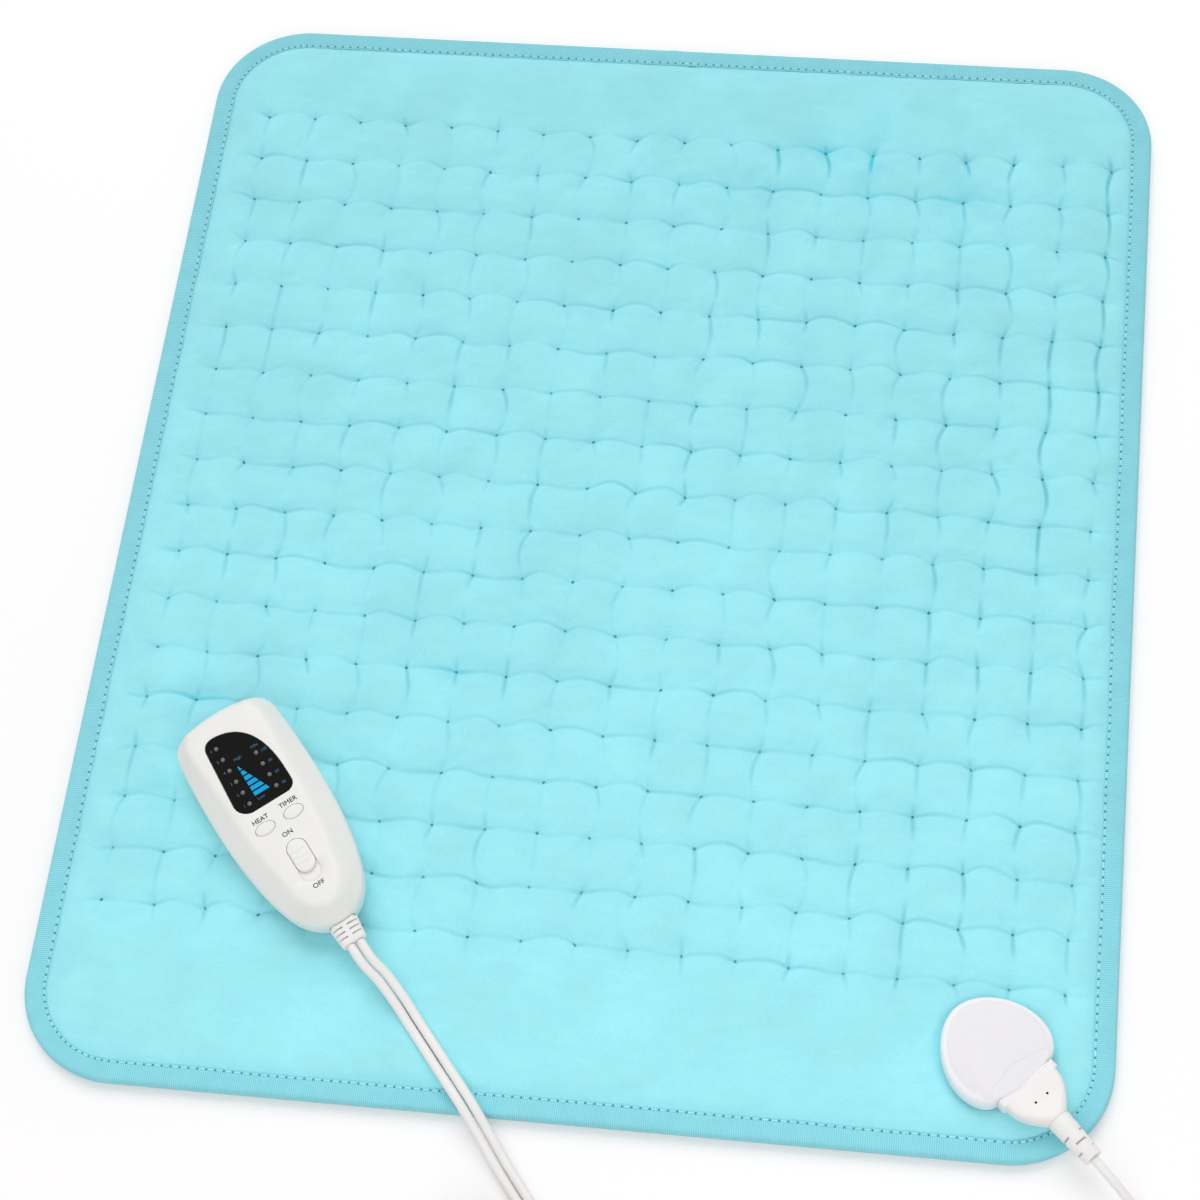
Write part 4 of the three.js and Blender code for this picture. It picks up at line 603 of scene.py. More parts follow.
class HEATPAD_OT_stage(bpy.types.Operator):
    """Camera, floor, soft light and even fill"""

    bl_idname = "heatpad.stage"
    bl_label = "Stage"

    def execute(self, context):
        settings = context.scene.heatpad_stage
        context.scene.view_settings.view_transform = "Standard"
        photo_camera()
        plan = np.array([(-1, -1), (1, -1), (1, 1), (-1, 1)]) * FLOOR_HALF
        floor = new_object("floor", ring(plan, -FLOOR_DROP), [(0, 1, 2, 3)])
        made = bpy.data.materials.new("pale_studio_floor")
        made.use_nodes = True
        tree = made.node_tree
        tree.nodes.clear()
        # A pale floor that the camera sees as white, with the object's shadow on it
        path = add_node(tree, "ShaderNodeLightPath")
        seen = add_node(
            tree, "ShaderNodeMath", MOST, i0=path.outputs["Is Camera Ray"], i1=path.outputs["Is Glossy Ray"])
        seen = add_node(
            tree, "ShaderNodeMath", MOST, i0=seen.outputs[0], i1=path.outputs["Is Transmission Ray"])
        place = add_node(tree, "ShaderNodeTexCoord")
        across = add_node(tree, "ShaderNodeSeparateXYZ", i0=place.outputs["Object"])
        even = add_node(
            tree, "ShaderNodeMapRange", i0=across.outputs["Y"],
            From_Min=-0.35, From_Max=0.35, To_Min=0.222, To_Max=0.338)
        lift = add_node(tree, "ShaderNodeMath", TIMES, i0=seen.outputs[0], i1=even.outputs[0])
        paint = add_node(tree, "ShaderNodeBsdfDiffuse", Color=linear(settings.floor_colour))
        glow = add_node(tree, "ShaderNodeEmission", Color=(1, 1, 1, 1), Strength=lift.outputs[0])
        both = add_node(tree, "ShaderNodeAddShader", i0=paint.outputs[0], i1=glow.outputs[0])
        add_node(tree, "ShaderNodeOutputMaterial", Surface=both.outputs[0])
        floor.data.materials.append(made)

        world = bpy.data.worlds.new("even_fill")
        world.use_nodes = True
        context.scene.world = world
        tree = world.node_tree
        tree.nodes.clear()
        path = add_node(tree, "ShaderNodeLightPath")
        seen = add_node(
            tree, "ShaderNodeMath", MOST,
            i0=path.outputs["Is Camera Ray"], i1=path.outputs["Is Transmission Ray"])
        # The sky is brightest at the horizon, so that walls and edges stay pale
        place = add_node(tree, "ShaderNodeTexCoord")
        height = add_node(tree, "ShaderNodeSeparateXYZ", i0=place.outputs["Generated"])
        slope = add_node(
            tree, "ShaderNodeMapRange", i0=height.outputs["Z"], From_Min=0.0, From_Max=1.0,
            To_Min=1.54 * settings.sky_strength, To_Max=0.73 * settings.sky_strength)
        level = add_node(
            tree, "ShaderNodeMapRange", i0=seen.outputs[0],
            From_Min=0.0, From_Max=1.0, To_Min=slope.outputs[0], To_Max=1.0)
        sky = add_node(tree, "ShaderNodeBackground", Color=(1, 1, 1, 1), Strength=level.outputs[0])
        add_node(tree, "ShaderNodeOutputWorld", Surface=sky.outputs[0])

        key = bpy.data.lights.new("key_light", "SUN")
        key.energy = settings.key_strength
        key.angle = settings.key_spread
        lamp = bpy.data.objects.new("key_light", key)
        context.scene.collection.objects.link(lamp)
        aim(lamp, (-0.3, 1.2, 1.7), (0, 0, 0))
        near = bpy.data.lights.new("near_light", "AREA")
        near.energy = settings.near_power
        near.size = 0.9
        lamp = bpy.data.objects.new("near_light", near)
        context.scene.collection.objects.link(lamp)
        aim(lamp, (0.15, -0.95, 0.85), (0, -0.1, 0))
        return {"FINISHED"}


# Leads

PAIR_ROUTE = [
    (-96.76, -234.19, 23.12), (-94.17, -237.50, 23.12), (-89.5, -242.7, 22.0), (-83.1, -247.6, 19.5),
    (-73.9, -257.1, 15.8), (-65.5, -267.2, 13.4), (-56.8, -277.8, 12.7), (-48.1, -288.5, 12.6),
    (-39.5, -298.9, 12.0), (-35.5, -303.9, 11.0), (-28.9, -312.5, 8.0), (-17.3, -328.0, 3.6),
    (-7.2, -340.8, 2.3),
]
MAINS_TAIL = [
    (-27.0, -419.1, 18.7), (-35.0, -419.1, 17.3), (-43.0, -419.1, 14.2), (-51.0, -419.1, 11.0),
    (-57.5, -419.1, 9.2), (-62.0, -419.1, 8.8),
]
PAD_OUT = [
    (2.0, -347.8, 2.3), (9.4, -354.4, 2.3), (18.0, -360.6, 2.3), (29.0, -365.0, 2.3), (41.0, -367.6, 2.4),
    (54.0, -368.6, 2.7), (70.0, -368.6, 3.1), (90.0, -368.6, 3.5),
]
PAD_TAIL = [
    (134.0, -368.6, 8.4), (145.0, -368.6, 7.2), (157.0, -368.6, 5.2), (170.0, -368.6, 3.4),
    (182.0, -368.6, 2.5), (204.0, -368.6, 2.3), (226.0, -368.6, 2.3), (239.0, -368.2, 2.3),
    (249.5, -366.6, 2.3), (258.0, -363.2, 2.3), (264.8, -358.2, 2.3), (269.8, -351.6, 2.3),
    (272.6, -344.6, 2.3), (273.2, -337.8, 2.4), (271.9, -331.4, 3.0), (269.0, -325.8, 4.5),
    (265.1, -321.2, 6.8), (260.9, -317.3, 9.6), (256.8, -313.6, 12.3), (252.8, -309.9, 14.2),
    (248.42, -305.62, 15.3), (245.45, -302.65, 15.3),
]
LEAD_SPACING = 4.9
COIL_MEAN = 26.5
COIL_PITCH = 5.2
COIL_LAYER = 5.1
COIL_FIRST = 3.55
MAINS_COIL = (-16.4, -386.5)
PAD_COIL = (120, -399)


def side_route(side):
    """The shared route of the pair, moved to one side."""
    points = np.array(PAIR_ROUTE)
    ends = np.vstack([points[:1], points, points[-1:]])
    along = ends[2:, :2] - ends[:-2, :2]
    along /= np.linalg.norm(along, axis=1)[:, None]
    moved = points.copy()
    moved[:, 0] -= along[:, 1] * side * LEAD_SPACING / 2
    moved[:, 1] += along[:, 0] * side * LEAD_SPACING / 2
    return moved


def wound_coil(turns, layers, start, x, y, steps=40):
    """Points of a coil that spirals in and out and climbs a layer where the spiral reverses."""
    per_layer = turns / layers
    outer = COIL_MEAN + COIL_PITCH * per_layer / 2
    turn = np.linspace(0, turns, int(turns * steps) + 1)
    layer = np.minimum(np.floor(turn / per_layer), layers - 1)
    through = turn / per_layer - layer
    radius = outer - COIL_PITCH * per_layer * np.where(layer % 2 == 0, through, 1 - through)
    height = np.full(len(turn), COIL_FIRST)
    for k in range(1, layers):
        height += COIL_LAYER * np.clip((turn - k * per_layer) / 0.5 + 0.5, 0, 1)
    angle = math.radians(start) - 2 * math.pi * turn
    return np.stack([x + radius * np.cos(angle), y + radius * np.sin(angle), height], axis=1)


def smooth_path(points, step=2.2):
    """A centripetal curve through the points, sampled about every step."""
    points = np.asarray(points, float)
    ends = np.vstack([2 * points[0] - points[1], points, 2 * points[-1] - points[-2]])
    out = []
    for k in range(1, len(ends) - 2):
        p0, p1, p2, p3 = ends[k - 1:k + 3]
        d0, d1, d2 = (max(1e-4, np.linalg.norm(b - a) ** 0.5) for a, b in ((p0, p1), (p1, p2), (p2, p3)))
        t1 = ((p1 - p0) / d0 - (p2 - p0) / (d0 + d1) + (p2 - p1) / d1) * d1
        t2 = ((p2 - p1) / d1 - (p3 - p1) / (d1 + d2) + (p3 - p2) / d2) * d1
        t = np.linspace(0, 1, max(2, int(np.linalg.norm(p2 - p1) / step) + 1), endpoint=False)[:, None]
        out.append(
            p1 * (2 * t**3 - 3 * t**2 + 1) + t1 * (t**3 - 2 * t**2 + t)
            + p2 * (-2 * t**3 + 3 * t**2) + t2 * (t**3 - t**2))
    return np.vstack([*out, points[-1:]])


def lead_paths():
    """Centre lines of the two leads, each from the controller to its plug."""
    mains_coil = wound_coil(9.357, 4, 38.5, *MAINS_COIL)
    mains = smooth_path(np.vstack([side_route(-1), [(-1.6, -351.6, 3.0)], mains_coil, MAINS_TAIL]))
    pad_coil = wound_coil(3, 2, 90, *PAD_COIL)
    pad = smooth_path(np.vstack([side_route(1), PAD_OUT, pad_coil, PAD_TAIL]))
    return mains, pad


def lead_curve(name, path, diameter):
    """One open spline with a round section."""
    data = bpy.data.curves.new(name, "CURVE")
    data.dimensions = "3D"
    data.bevel_depth = diameter / 2
    data.bevel_resolution = 4
    data.use_fill_caps = True
    spline = data.splines.new("POLY")
    spline.points.add(len(path) - 1)
    flat = np.column_stack([path * MM, np.ones(len(path))]).ravel()
    spline.points.foreach_set("co", flat)
    spline.use_smooth = True
    data.materials.append(FINISH["lead"])
    made = bpy.data.objects.new(name, data)
    bpy.context.scene.collection.objects.link(made)
    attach(made, LEAD_BODY)
    return made


def coil_strap(name, path, x, y, angle, node):
    """A woven strap drawn tight round a coil's bundle, with its free end lapped over the outer side."""
    thick, half, gap = 1.0, 4.0, 2.5
    across_way = (-math.sin(angle), math.cos(angle))
    away = path[:, :2] - (x, y)
    side = np.stack([away @ (across_way[1], -across_way[0]), path[:, 2]], axis=1)
    across = away @ across_way
    cut = np.nonzero((across[:-1] * across[1:] < 0) & (side[:-1, 0] > 15) & (side[:-1, 0] < 40))[0]
    share = (across[cut] / (across[cut] - across[cut + 1]))[:, None]
    cords = side[cut] * (1 - share) + side[cut + 1] * share
    hull = cords[convex_hull_2d(cords.tolist())]
    hull = hull[np.argsort(np.arctan2(*(hull - hull.mean(axis=0)).T[::-1]))]
    spine = []
    for k, corner in enumerate(hull):
        before, after = corner - hull[k - 1], hull[(k + 1) % len(hull)] - corner
        facing = math.atan2(-before[0], before[1])
        sweep = (math.atan2(-after[0], after[1]) - facing) % (2 * math.pi)
        spine += [(*corner, facing + sweep * s) for s in np.linspace(0, 1, 2 + int(sweep / 0.25))]
    spine = np.array(spine)
    # The loop starts low on the outer side, and its end climbs over that start
    begin = np.argmin(np.abs((spine[:, 2] + 0.3 + math.pi) % (2 * math.pi) - math.pi))
    spine = np.roll(spine, -begin, axis=0)
    turn = (spine[:, 2] - spine[0, 2] + 1e-6) % (2 * math.pi)
    lap = spine[turn < 1.3]
    lift = gap + 1.05 * np.append(ease(5.4, 6.2, turn), np.ones(len(lap)))[:, None]
    spine = np.vstack([spine, lap])
    normal = np.stack([np.cos(spine[:, 2]), np.sin(spine[:, 2])], axis=1)
    inner = spine[:, :2] + normal * lift
    rim = inner + normal * thick
    mid = (inner + rim) / 2
    rings = [
        np.array([(p[0], s, p[1]) for p, s in (
            (a, half - 0.2), (b, half), (c, half - 0.2), (c, 0.2 - half), (b, -half), (a, 0.2 - half))])
        for a, b, c in zip(inner, mid, rim)
    ]
    strap = loft(name, rings)
    place = Matrix.Translation((x, y, 0)) @ Matrix.Rotation(angle, 4, "Z")
    return settle(strap, place, "tie", LEAD_BODY, [node])


def mains_plug_piece():
    """Moulded plug: a round boot that swells into a waisted grip and a flat face."""
    axis, face = 8.8, -54.0
    stations = [
        (0.0, 4.4, 4.4), (-0.4, 4.7, 4.7), (-8, 5.0, 5.0), (-16, 5.35, 5.35), (-23, 5.7, 5.65),
        (-26, 6.5, 6.05), (-28.5, 8.1, 6.7), (-31.5, 9.5, 7.14), (-35, 10.1, 7.2), (-39, 10.5, 7.14),
        (-43, 11.3, 7.6), (-48, 12.4, 8.4), (-50, 12.5, 8.5), (-52.6, 12.5, 8.5), (-53.4, 12.2, 8.2),
        (face, 11.5, 7.5),
    ]
    rings = [section(w, h, min(w, h) * 0.96, y, axis, 12) for y, w, h in stations]
    body = loft("mains_plug_moulding", rings)
    grips, slots = [], []
    for k in range(4):
        for side in (-1, 1):
            grips.append(bar((0, -31.5 - 2.6 * k, axis + side * 7.3), (6.5, 0.5, 0.55)))
            if k % 2:
                slots.append(bar((0, -4 - 4.2 * k, axis + side * 5.4), (3.4, 0.5, 1.9)))
            else:
                slots.append(bar((side * 5.4, -4 - 4.2 * k, axis), (1.9, 0.5, 3.4)))
    roots = [bar((side * 6.35, face + 2, axis), (1.05, 4, 3.475)) for side in (-1, 1)]
    carve(body, roots + grips + slots)
    return settle(body, MAINS_PLUG_PLACE, "lead", LEAD_BODY, ["mains_plug"])


class HEATPAD_OT_leads(bpy.types.Operator):
    """Both leads with their coils, straps and the mains plug"""

    bl_idname = "heatpad.leads"
    bl_label = "Leads"

    def execute(self, context):
        settings = context.scene.heatpad_leads
        mains_path, pad_path = lead_paths()
        dress("brass", "mains_blade_left", "mains_blade_right")
        plug = mains_plug_piece()
        straps = [
            coil_strap("mains_strap", mains_path, *MAINS_COIL, math.pi, "mains_lead_tie"),
            coil_strap("pad_strap", pad_path, *PAD_COIL, -math.pi / 2, "pad_lead_tie"),
        ]
        mains = lead_curve("mains_cord", mains_path, settings.diameter)
        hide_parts("mains_lead", "mains_lead_coil", "mains_lead_end")
        lead = lead_curve("pad_cord", pad_path, settings.diameter)
        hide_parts("pad_lead", "pad_lead_coil", "pad_lead_end")
        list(connector_pieces())
        return {"FINISHED"}


# Connector plug and its boot

# Where the two marks lie across the connector
MARKS = (-3.5, 3.3)


def connector_pieces():
    """Moulded connector with its collar, tongue and two mark holes with dark discs in them as painted shade,
    and the slotted boot behind it.
    """
    bell = bezier((14.5, -5.6), (14.5, -12.42), (10.44, -17.48), (5.75, -22.8), count=16)
    hollow = lambda x: -0.55 - 2.3 * (1 - np.minimum(1, (x / 16) ** 2))
    front = section(15.5, 4.3, 1.6, hollow, PLUG_AXIS, 8)
    lip = section(16, 4.8, 2.0, lambda x: hollow(x) - 0.5, PLUG_AXIS, 8)
    collar = ((16, 2.0, -4.6), (15.7, 2.05, -5.0), (14.6, 2.3, -5.3))
    rings = [front, lip, *(section(w, 4.8, corner, y, PLUG_AXIS, 8) for w, corner, y in collar)]
    for w, y in bell:
        rise = np.clip((-12 - y) / 11, 0, 1)
        tall = 4.8 + 0.8 * rise * rise * (3 - 2 * rise)
        rings.append(section(w, tall, 2.4 + 3.0 * rise, y, PLUG_AXIS, 8))
    rings.append(section(5.5, 5.4, 5.2, -23.0, PLUG_AXIS, 8))
    body = loft("connector_moulding", rings)
    carve(body, [block(-13, 13, -7.6, 15, PLUG_AXIS - 3.1, PLUG_AXIS + 3.1)], "UNION")
    bores = []
    for x in (-7, 0, 7):
        bore = rod(2.2, x, -PLUG_AXIS, 0.3, 16)
        bore.data.transform(Matrix.Rotation(math.radians(-90), 4, "X"))
        bores.append(bore)
    holes = [rod(0.62, x, -12, 19.4, 21) for x in MARKS]
    carve(body, bores + holes)
    settle(body, CONNECTOR_PLACE, "lead", LEAD_BODY, ["plug_body"])
    # Dark discs at the bottom of the mark holes: painted shade
    marks = joined("connector_hole_shade_discs", [
        skin([ring(circle(0.56, x, -12, 20), z) for z in (19.45, 19.75)]) for x in MARKS])
    settle(marks, CONNECTOR_PLACE, "ink", LEAD_BODY)

    profile = [
        (-23.05, 5.3), (-23.3, 5.58), (-23.9, 5.68), (-30, 5.45), (-38, 5.08), (-45.6, 4.72), (-46.1, 4.5),
        (-46.3, 4.1),
    ]
    turned = [np.column_stack([c[:, 0], np.full(48, y), PLUG_AXIS + c[:, 1]])
              for y, r in profile for c in [circle(r, count=48)]]
    boot = loft("connector_boot", turned)
    cuts = []
    for k in range(3):
        y = -46.3 + 4.4 * (k + 1)
        for side in (-1, 1):
            if k % 2 == 0:
                cuts.append(bar((side * 5.75, y, PLUG_AXIS), (2.85, 0.5, 4.4)))
            else:
                cuts.append(bar((0, y, PLUG_AXIS + side * 5.75), (2.7, 0.5, 2.85)))
    carve(boot, cuts)
    settle(boot, CONNECTOR_PLACE, "lead", LEAD_BODY, ["plug_boot"])
    sleeves = [f"contact_sleeve_{side}" for side in ("left", "middle", "right")]
    dress("brass", *sleeves)
    return [body, boot, marks, *(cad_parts[n] for n in sleeves)]


# Socket on the pad

SCREW_X = 15.555
SCREW_Y = 28.3


def pebble_outline(count=24):
    """Outline of the socket, from its mouth round its far end."""
    return np.concatenate([
        bezier((-17, 0), (0, -5.2), (17, 0), count=count),
        bezier((17, 0), (21.93, 1.35), (25.5, 8.1), (25.5, 15.525), count=count),
        bezier((25.5, 15.525), (25.5, 30.015), (13.005, 45), (0, 45), count=count),
        bezier((0, 45), (-13.005, 45), (-25.5, 30.015), (-25.5, 15.525), count=count),
        bezier((-25.5, 15.525), (-25.5, 8.1), (-21.93, 1.35), (-17, 0), count=count),
    ])


class HEATPAD_OT_socket(bpy.types.Operator):
    """Socket sewn on the pad, with its inner parts"""

    bl_idname = "heatpad.socket"
    bl_label = "Socket"

    def execute(self, context):
        pebble = pebble_outline()
        profile = [
            (0.6, 9.0), (0.15, 9.4), (0.0, 10.0), (0.0, 16.6), (0.12, 17.6), (0.45, 18.5), (1.0, 19.25),
            (1.7, 19.8), (2.4, 20.08), (2.75, 20.1), (2.95, 20.34), (3.2, 20.52), (3.7, 20.64), (4.4, 20.7),
        ]
        crisp = 0.45 + 0.55 * ease(0, 8, pebble[:, 1])
        cover = loft("socket_shell", [ring(inset(pebble, d * crisp), z) for d, z in profile])
        inner = loft("cutter", [
            ring(inset(pebble, 2.0), 8.0), ring(inset(pebble, 2.0), 15.7), ring(inset(pebble, 3.8), 18.7)])
        carve(cover, [inner])
        posts = [rod(2.6, side * SCREW_X, SCREW_Y, 10.8, 19.0) for side in (-1, 1)]
        carve(cover, posts, "UNION")
        arch = np.concatenate([
            [(-15.9, -45.0), (15.9, -45.0)],
            bezier((15.9, 1.6), (15.9, 4.2), (14.6, 4.5), (12, 5.1), count=12),
            bezier((12, 5.1), (9, 5.8), (6.5, 6.3), (4, 7.0), count=12),
            bezier((4, 7.0), (2, 8.0), (-2, 8.0), (-4, 7.0), count=12),
            bezier((-4, 7.0), (-6.5, 6.3), (-9, 5.8), (-12, 5.1), count=12),
            bezier((-12, 5.1), (-14.6, 4.5), (-15.9, 4.2), (-15.9, 1.6), count=12), [(-15.9, 1.6)],
        ])
        lip = loft("cutter", [ring(inset(arch, -d), z) for d, z in ((0, 20.12), (0.8, 20.92), (0.8, 22))])
        mouth = block(-13.3, 13.3, -3.6, 5.0, PLUG_AXIS - 3.4, PLUG_AXIS + 3.4)
        holes = [rod(1.3, side * SCREW_X, SCREW_Y, 8, 18.1) for side in (-1, 1)]
        carve(cover, [mouth, lip, *holes])
        # The sloping faces get the paler finish as painted light on the edges
        painted_light_faces = [face.normal.z < 0.97 for face in cover.data.polygons]
        settle(cover, CONNECTOR_PLACE, "socket", PAD_BODY, ["socket_cover"], angle=40)
        cover.data.materials.append(FINISH["rim"])
        cover.data.polygons.foreach_set("material_index", np.array(painted_light_faces, np.int32))
        dress("socket", "socket_base")
        dress("board", "terminal_board")
        dress("brass", "contact_pin_left", "contact_pin_middle", "contact_pin_right")
        dress("tin", "socket_screw_left", "socket_screw_right")
        return {"FINISHED"}


# Controller

CASE_HALF = 28.2
CASE_END = 63.5


def case_outline(count=26):
    """Outline of the controller, from the middle of its lead end, counter-clockwise."""
    shoulder, corner = 0.957 * CASE_HALF, 13.0
    x, y, top = shoulder - corner, CASE_END - 1 - corner, CASE_END - 1
    h, e = CASE_HALF, CASE_END
    return np.concatenate([
        bezier((0, -e), (0.355 * h, -e), (0.656 * h, -0.866 * e), (0.762 * h, -0.693 * e), count=count),
        bezier(
            (0.762 * h, -0.693 * e), (1.064 * h, -0.283 * e), (1.036 * h, 0.39 * e), (shoulder, y),
            count=count),
        arc(x, y, corner, corner, 0, count),
        bezier((x, top), (0, e + 1), (-x, top), count=count),
        arc(-x, y, corner, corner, 90, count),
        bezier(
            (-shoulder, y), (-1.036 * h, 0.39 * e), (-1.064 * h, -0.283 * e), (-0.762 * h, -0.693 * e),
            count=count),
        bezier((-0.762 * h, -0.693 * e), (-0.656 * h, -0.866 * e), (-0.355 * h, -e), (0, -e), count=count),
    ])


def far_end(points):
    """Share of the way round the corners to the controller's far end."""
    return ease(CASE_END - 6, CASE_END + 1, points[:, 1])


def face_inset(points):
    """How far the top face lies inside the outline: wide along the sides, narrower at both ends."""
    y = points[:, 1]
    return 10 - 3 * ease(15, 50, y) - 3.2 * far_end(points) - 2.2 * ease(32, 58, -y)


def lens_outline(grow, count=20):
    """The lens: round corners below, a long sweep over the right side, a tight corner at the top left."""
    outline = np.concatenate([
        arc(-7.6, 11.7, 7.5, 7.5, 180, count), arc(10.0, 9.2, 5.0, 5.0, -90, count), [(15.0, 9.2)],
        bezier((15.0, 14.0), (15.0, 35.0), (8.5, 47.3), (-6.0, 48.6), count=2 * count),
        bezier((-6.0, 48.6), (-10.4, 48.9), (-12.9, 46.9), (-13.1, 42.0), count=count), [(-13.1, 42.0)],
    ])
    return inset(outline, -grow)


def stadium(width, length, y, count=16):
    """A slot outline along Y with round ends."""
    r = width / 2 - 0.001
    x, reach = width / 2 - r, length / 2 - r
    corners = ((x, -reach, -90), (x, reach, 0), (-x, reach, 90), (-x, -reach, 180))
    return np.concatenate([arc(side, y + end, r, r, start, count) for side, end, start in corners])


LAMP_PITCH = 6.78
LAMPS = [("heat_lamp", k, -7.9, 8.85 + LAMP_PITCH * k) for k in range(6)]
LAMPS += [("timer_lamp", k, 7.3, 9.75 + LAMP_PITCH * k) for k in range(4)]
BUTTONS = {"heat": -7.65, "timer": 7.65}
BUTTON_Y = -6.5
SLIDER_Y = -27.8
POCKET_Y = -29.8
SCOOP_Y = -37.2
BOSSES = (52.0, -46.0)


def relief_passage():
    return loft("cutter", [section(6.6, 3.4, 2.9, y, RELIEF_AXIS) for y in (-57.3, -74.5)])


def front_shell():
    """Upper moulding: wall, wide chamfer with soft edges, flat face with its openings."""
    outline = case_outline()
    face = face_inset(outline)
    level = lambda depth, z: np.column_stack([np.broadcast_to(depth, len(face)), np.full(len(face), z)])
    wall, foot, start = level(0.26, 12.7), level(0.3, 13.6), level(1.0, 14.2)
    stop = level(face - 0.7, 21.3)
    crest = stop + (stop - start) * (0.7 / 7.1)
    # The crest is crisp along the left side, softer at the far end and softest along the right
    rounder = far_end(outline)
    softer = ease(6, 16, outline[:, 0])
    flat = level(face + 1.5 + np.maximum(1.5 * rounder, 1.3 * softer), CASE_TOP)
    levels = [level(0.0, SPLIT)]

    def blend(a, b, c):
        for t in np.linspace(0, 1, 7):
            levels.append(a * (1 - t) ** 2 + 2 * b * t * (1 - t) + c * t * t)

    blend(wall, foot, start + (stop - start) * 0.08)
    blend(start + (stop - start) * (0.84 - np.maximum(0.25 * rounder, 0.48 * softer))[:, None], crest, flat)
    shell = loft("controller_front", [ring(inset(outline, lv[:, 0]), lv[:, 1]) for lv in levels])
    inner = loft("cutter", [
        ring(inset(outline, 2.0), SPLIT - 1), ring(inset(outline, 2.3), 13.15),
        ring(inset(outline, face + 1.0), CASE_CEILING)])
    carve(shell, [inner])
    carve(shell, [rod(2.8, 0, y, SPLIT, 20.5) for y in BOSSES], "UNION")
    cuts = [
        prism(lens_outline(GAP), 20.5, 23.5),
        prism(lens_outline(-2.2), 18.6, 23.5),
        prism(stadium(10.4, 22.4, POCKET_Y), 20.6, 23.5),
        block(-1.8, 1.8, POCKET_Y - 4.8, POCKET_Y + 4.8, 18.6, 23.5),
        loft("cutter", [
            ring(circle(1.0, count=48) * (wide, deep) + (0, SCOOP_Y), z) for wide, deep, z in (
                (4.6, 3.9, 20.6), (5.0, 4.3, 20.9), (5.4, 4.8, 21.4), (5.8, 5.3, 21.8), (6.3, 5.9, 22.02),
                (6.3, 5.9, 23.5))]),
        relief_passage(),
    ]
    cuts += [prism(np.column_stack([circle(5.25, x, 0)[:, 0], BUTTON_Y + circle(3.45)[:, 1]]), 18.6, 23.5)
             for x in BUTTONS.values()]
    cuts += [rod(1.5, 0, y, 0, 15.5) for y in BOSSES]
    carve(shell, cuts)
    return settle(shell, CASE_PLACE, "case", LEAD_BODY, ["front_shell"], angle=38)


def rear_shell():
    """Lower moulding with a rounded sole, screw wells and posts for the board."""
    outline = case_outline()
    sole = bezier((4.0, 0.0), (1.9, 0.0), (0.35, 1.8), (0.0, 9.0), count=9)
    rings = [ring(inset(outline, d), z) for d, z in sole] + [ring(outline, 9.0)]
    shell = loft("controller_rear", rings)
    inner = loft("cutter", [
        ring(inset(outline, 5.0), 2.0), ring(inset(outline, 2.8), 4.0), ring(inset(outline, 2.0), 10.0)])
    carve(shell, [inner])
    posts = [rod(4.2, 0, y, 1.0, 9.0) for y in BOSSES]
    board_posts = ((-16.92, 42.5), (16.92, 42.5), (-15.51, -36.5), (15.51, -36.5))
    posts += [rod(2.5, x, y, 1.0, 11.7) for x, y in board_posts]
    posts += [rod(1.8, side * 8.4, -52.5, 1.0, 12.2) for side in (-1, 1)]
    carve(shell, posts, "UNION")
    wells = [rod(1.5, 0, y, -1, 11) for y in BOSSES] + [rod(2.9, 0, y, -1, 3.5) for y in BOSSES]
    carve(shell, [*wells, relief_passage()])
    return settle(shell, CASE_PLACE, "case", LEAD_BODY, ["rear_shell"], angle=38)


def strain_relief():
    """Flat twin relief: clamped tail, flange, neck in the wall and a slotted taper outside."""
    levels = [
        (5.8, 2.8, -51.7), (5.8, 2.8, -55.7), (8.0, 4.5, -55.7), (8.0, 4.5, -57.3), (6.3, 3.1, -57.3),
        (6.3, 3.1, -63.8), (7.0, 3.8, -63.8), (7.3, 4.1, -64.2), (6.9, 3.85, -68), (6.35, 3.45, -73.6),
        (6.1, 3.2, -74.4), (5.5, 2.6, -74.8),
    ]
    body = loft("lead_relief", [section(w, h, h * 0.84, y, RELIEF_AXIS, 8) for w, h, y in levels])
    slots = []
    for k in range(3):
        y = -63.8 - 2.7 * (k + 0.8)
        for side in (-1, 1):
            for face in (-1, 1):
                slots.append(bar((side * 4.2, y, RELIEF_AXIS + face * 3.6), (3.05, 0.45, 1.65)))
    carve(body, slots)
    return settle(body, CASE_PLACE, "lead", LEAD_BODY, ["strain_relief"])


def indicator_lamps():
    """All the lamps: a collar on the board and a domed barrel through the lens."""
    profile = [(1.5, 13.9), (1.5, 14.9), (1.15, 14.9), (1.15, 21.9)]
    profile += [(1.15 * math.cos(t), 21.95 + 0.75 * math.sin(t)) for t in np.radians((0, 18, 36, 54, 70, 82))]
    lamps = joined("indicator_lamps", [
        skin([ring(circle(r, x, y, 24), z) for r, z in profile]) for _, _, x, y in LAMPS])
    return settle(lamps, CASE_PLACE, "lamp", LEAD_BODY, [f"{name}_{k + 1}" for name, k, _, _ in LAMPS])


def push_button(name, x):
    """Oval cap with a flange behind the face and a slightly crowned top."""
    levels = [
        (0.9, 18.2), (0.9, 19.3), (0.0, 19.3), (0.0, 21.9), (-0.08, 22.14), (-0.3, 22.28), (-0.8, 22.36),
        (-1.8, 22.41), (-2.7, 22.43),
    ]
    oval = circle(1.0, count=56)
    rings = [ring(oval * (5.0 + grow, 3.2 + grow) + (x, BUTTON_Y), z) for grow, z in levels]
    cap = loft(f"{name}_cap", rings)
    return settle(cap, CASE_PLACE, "case", f"{name}_button", [f"{name}_button"])


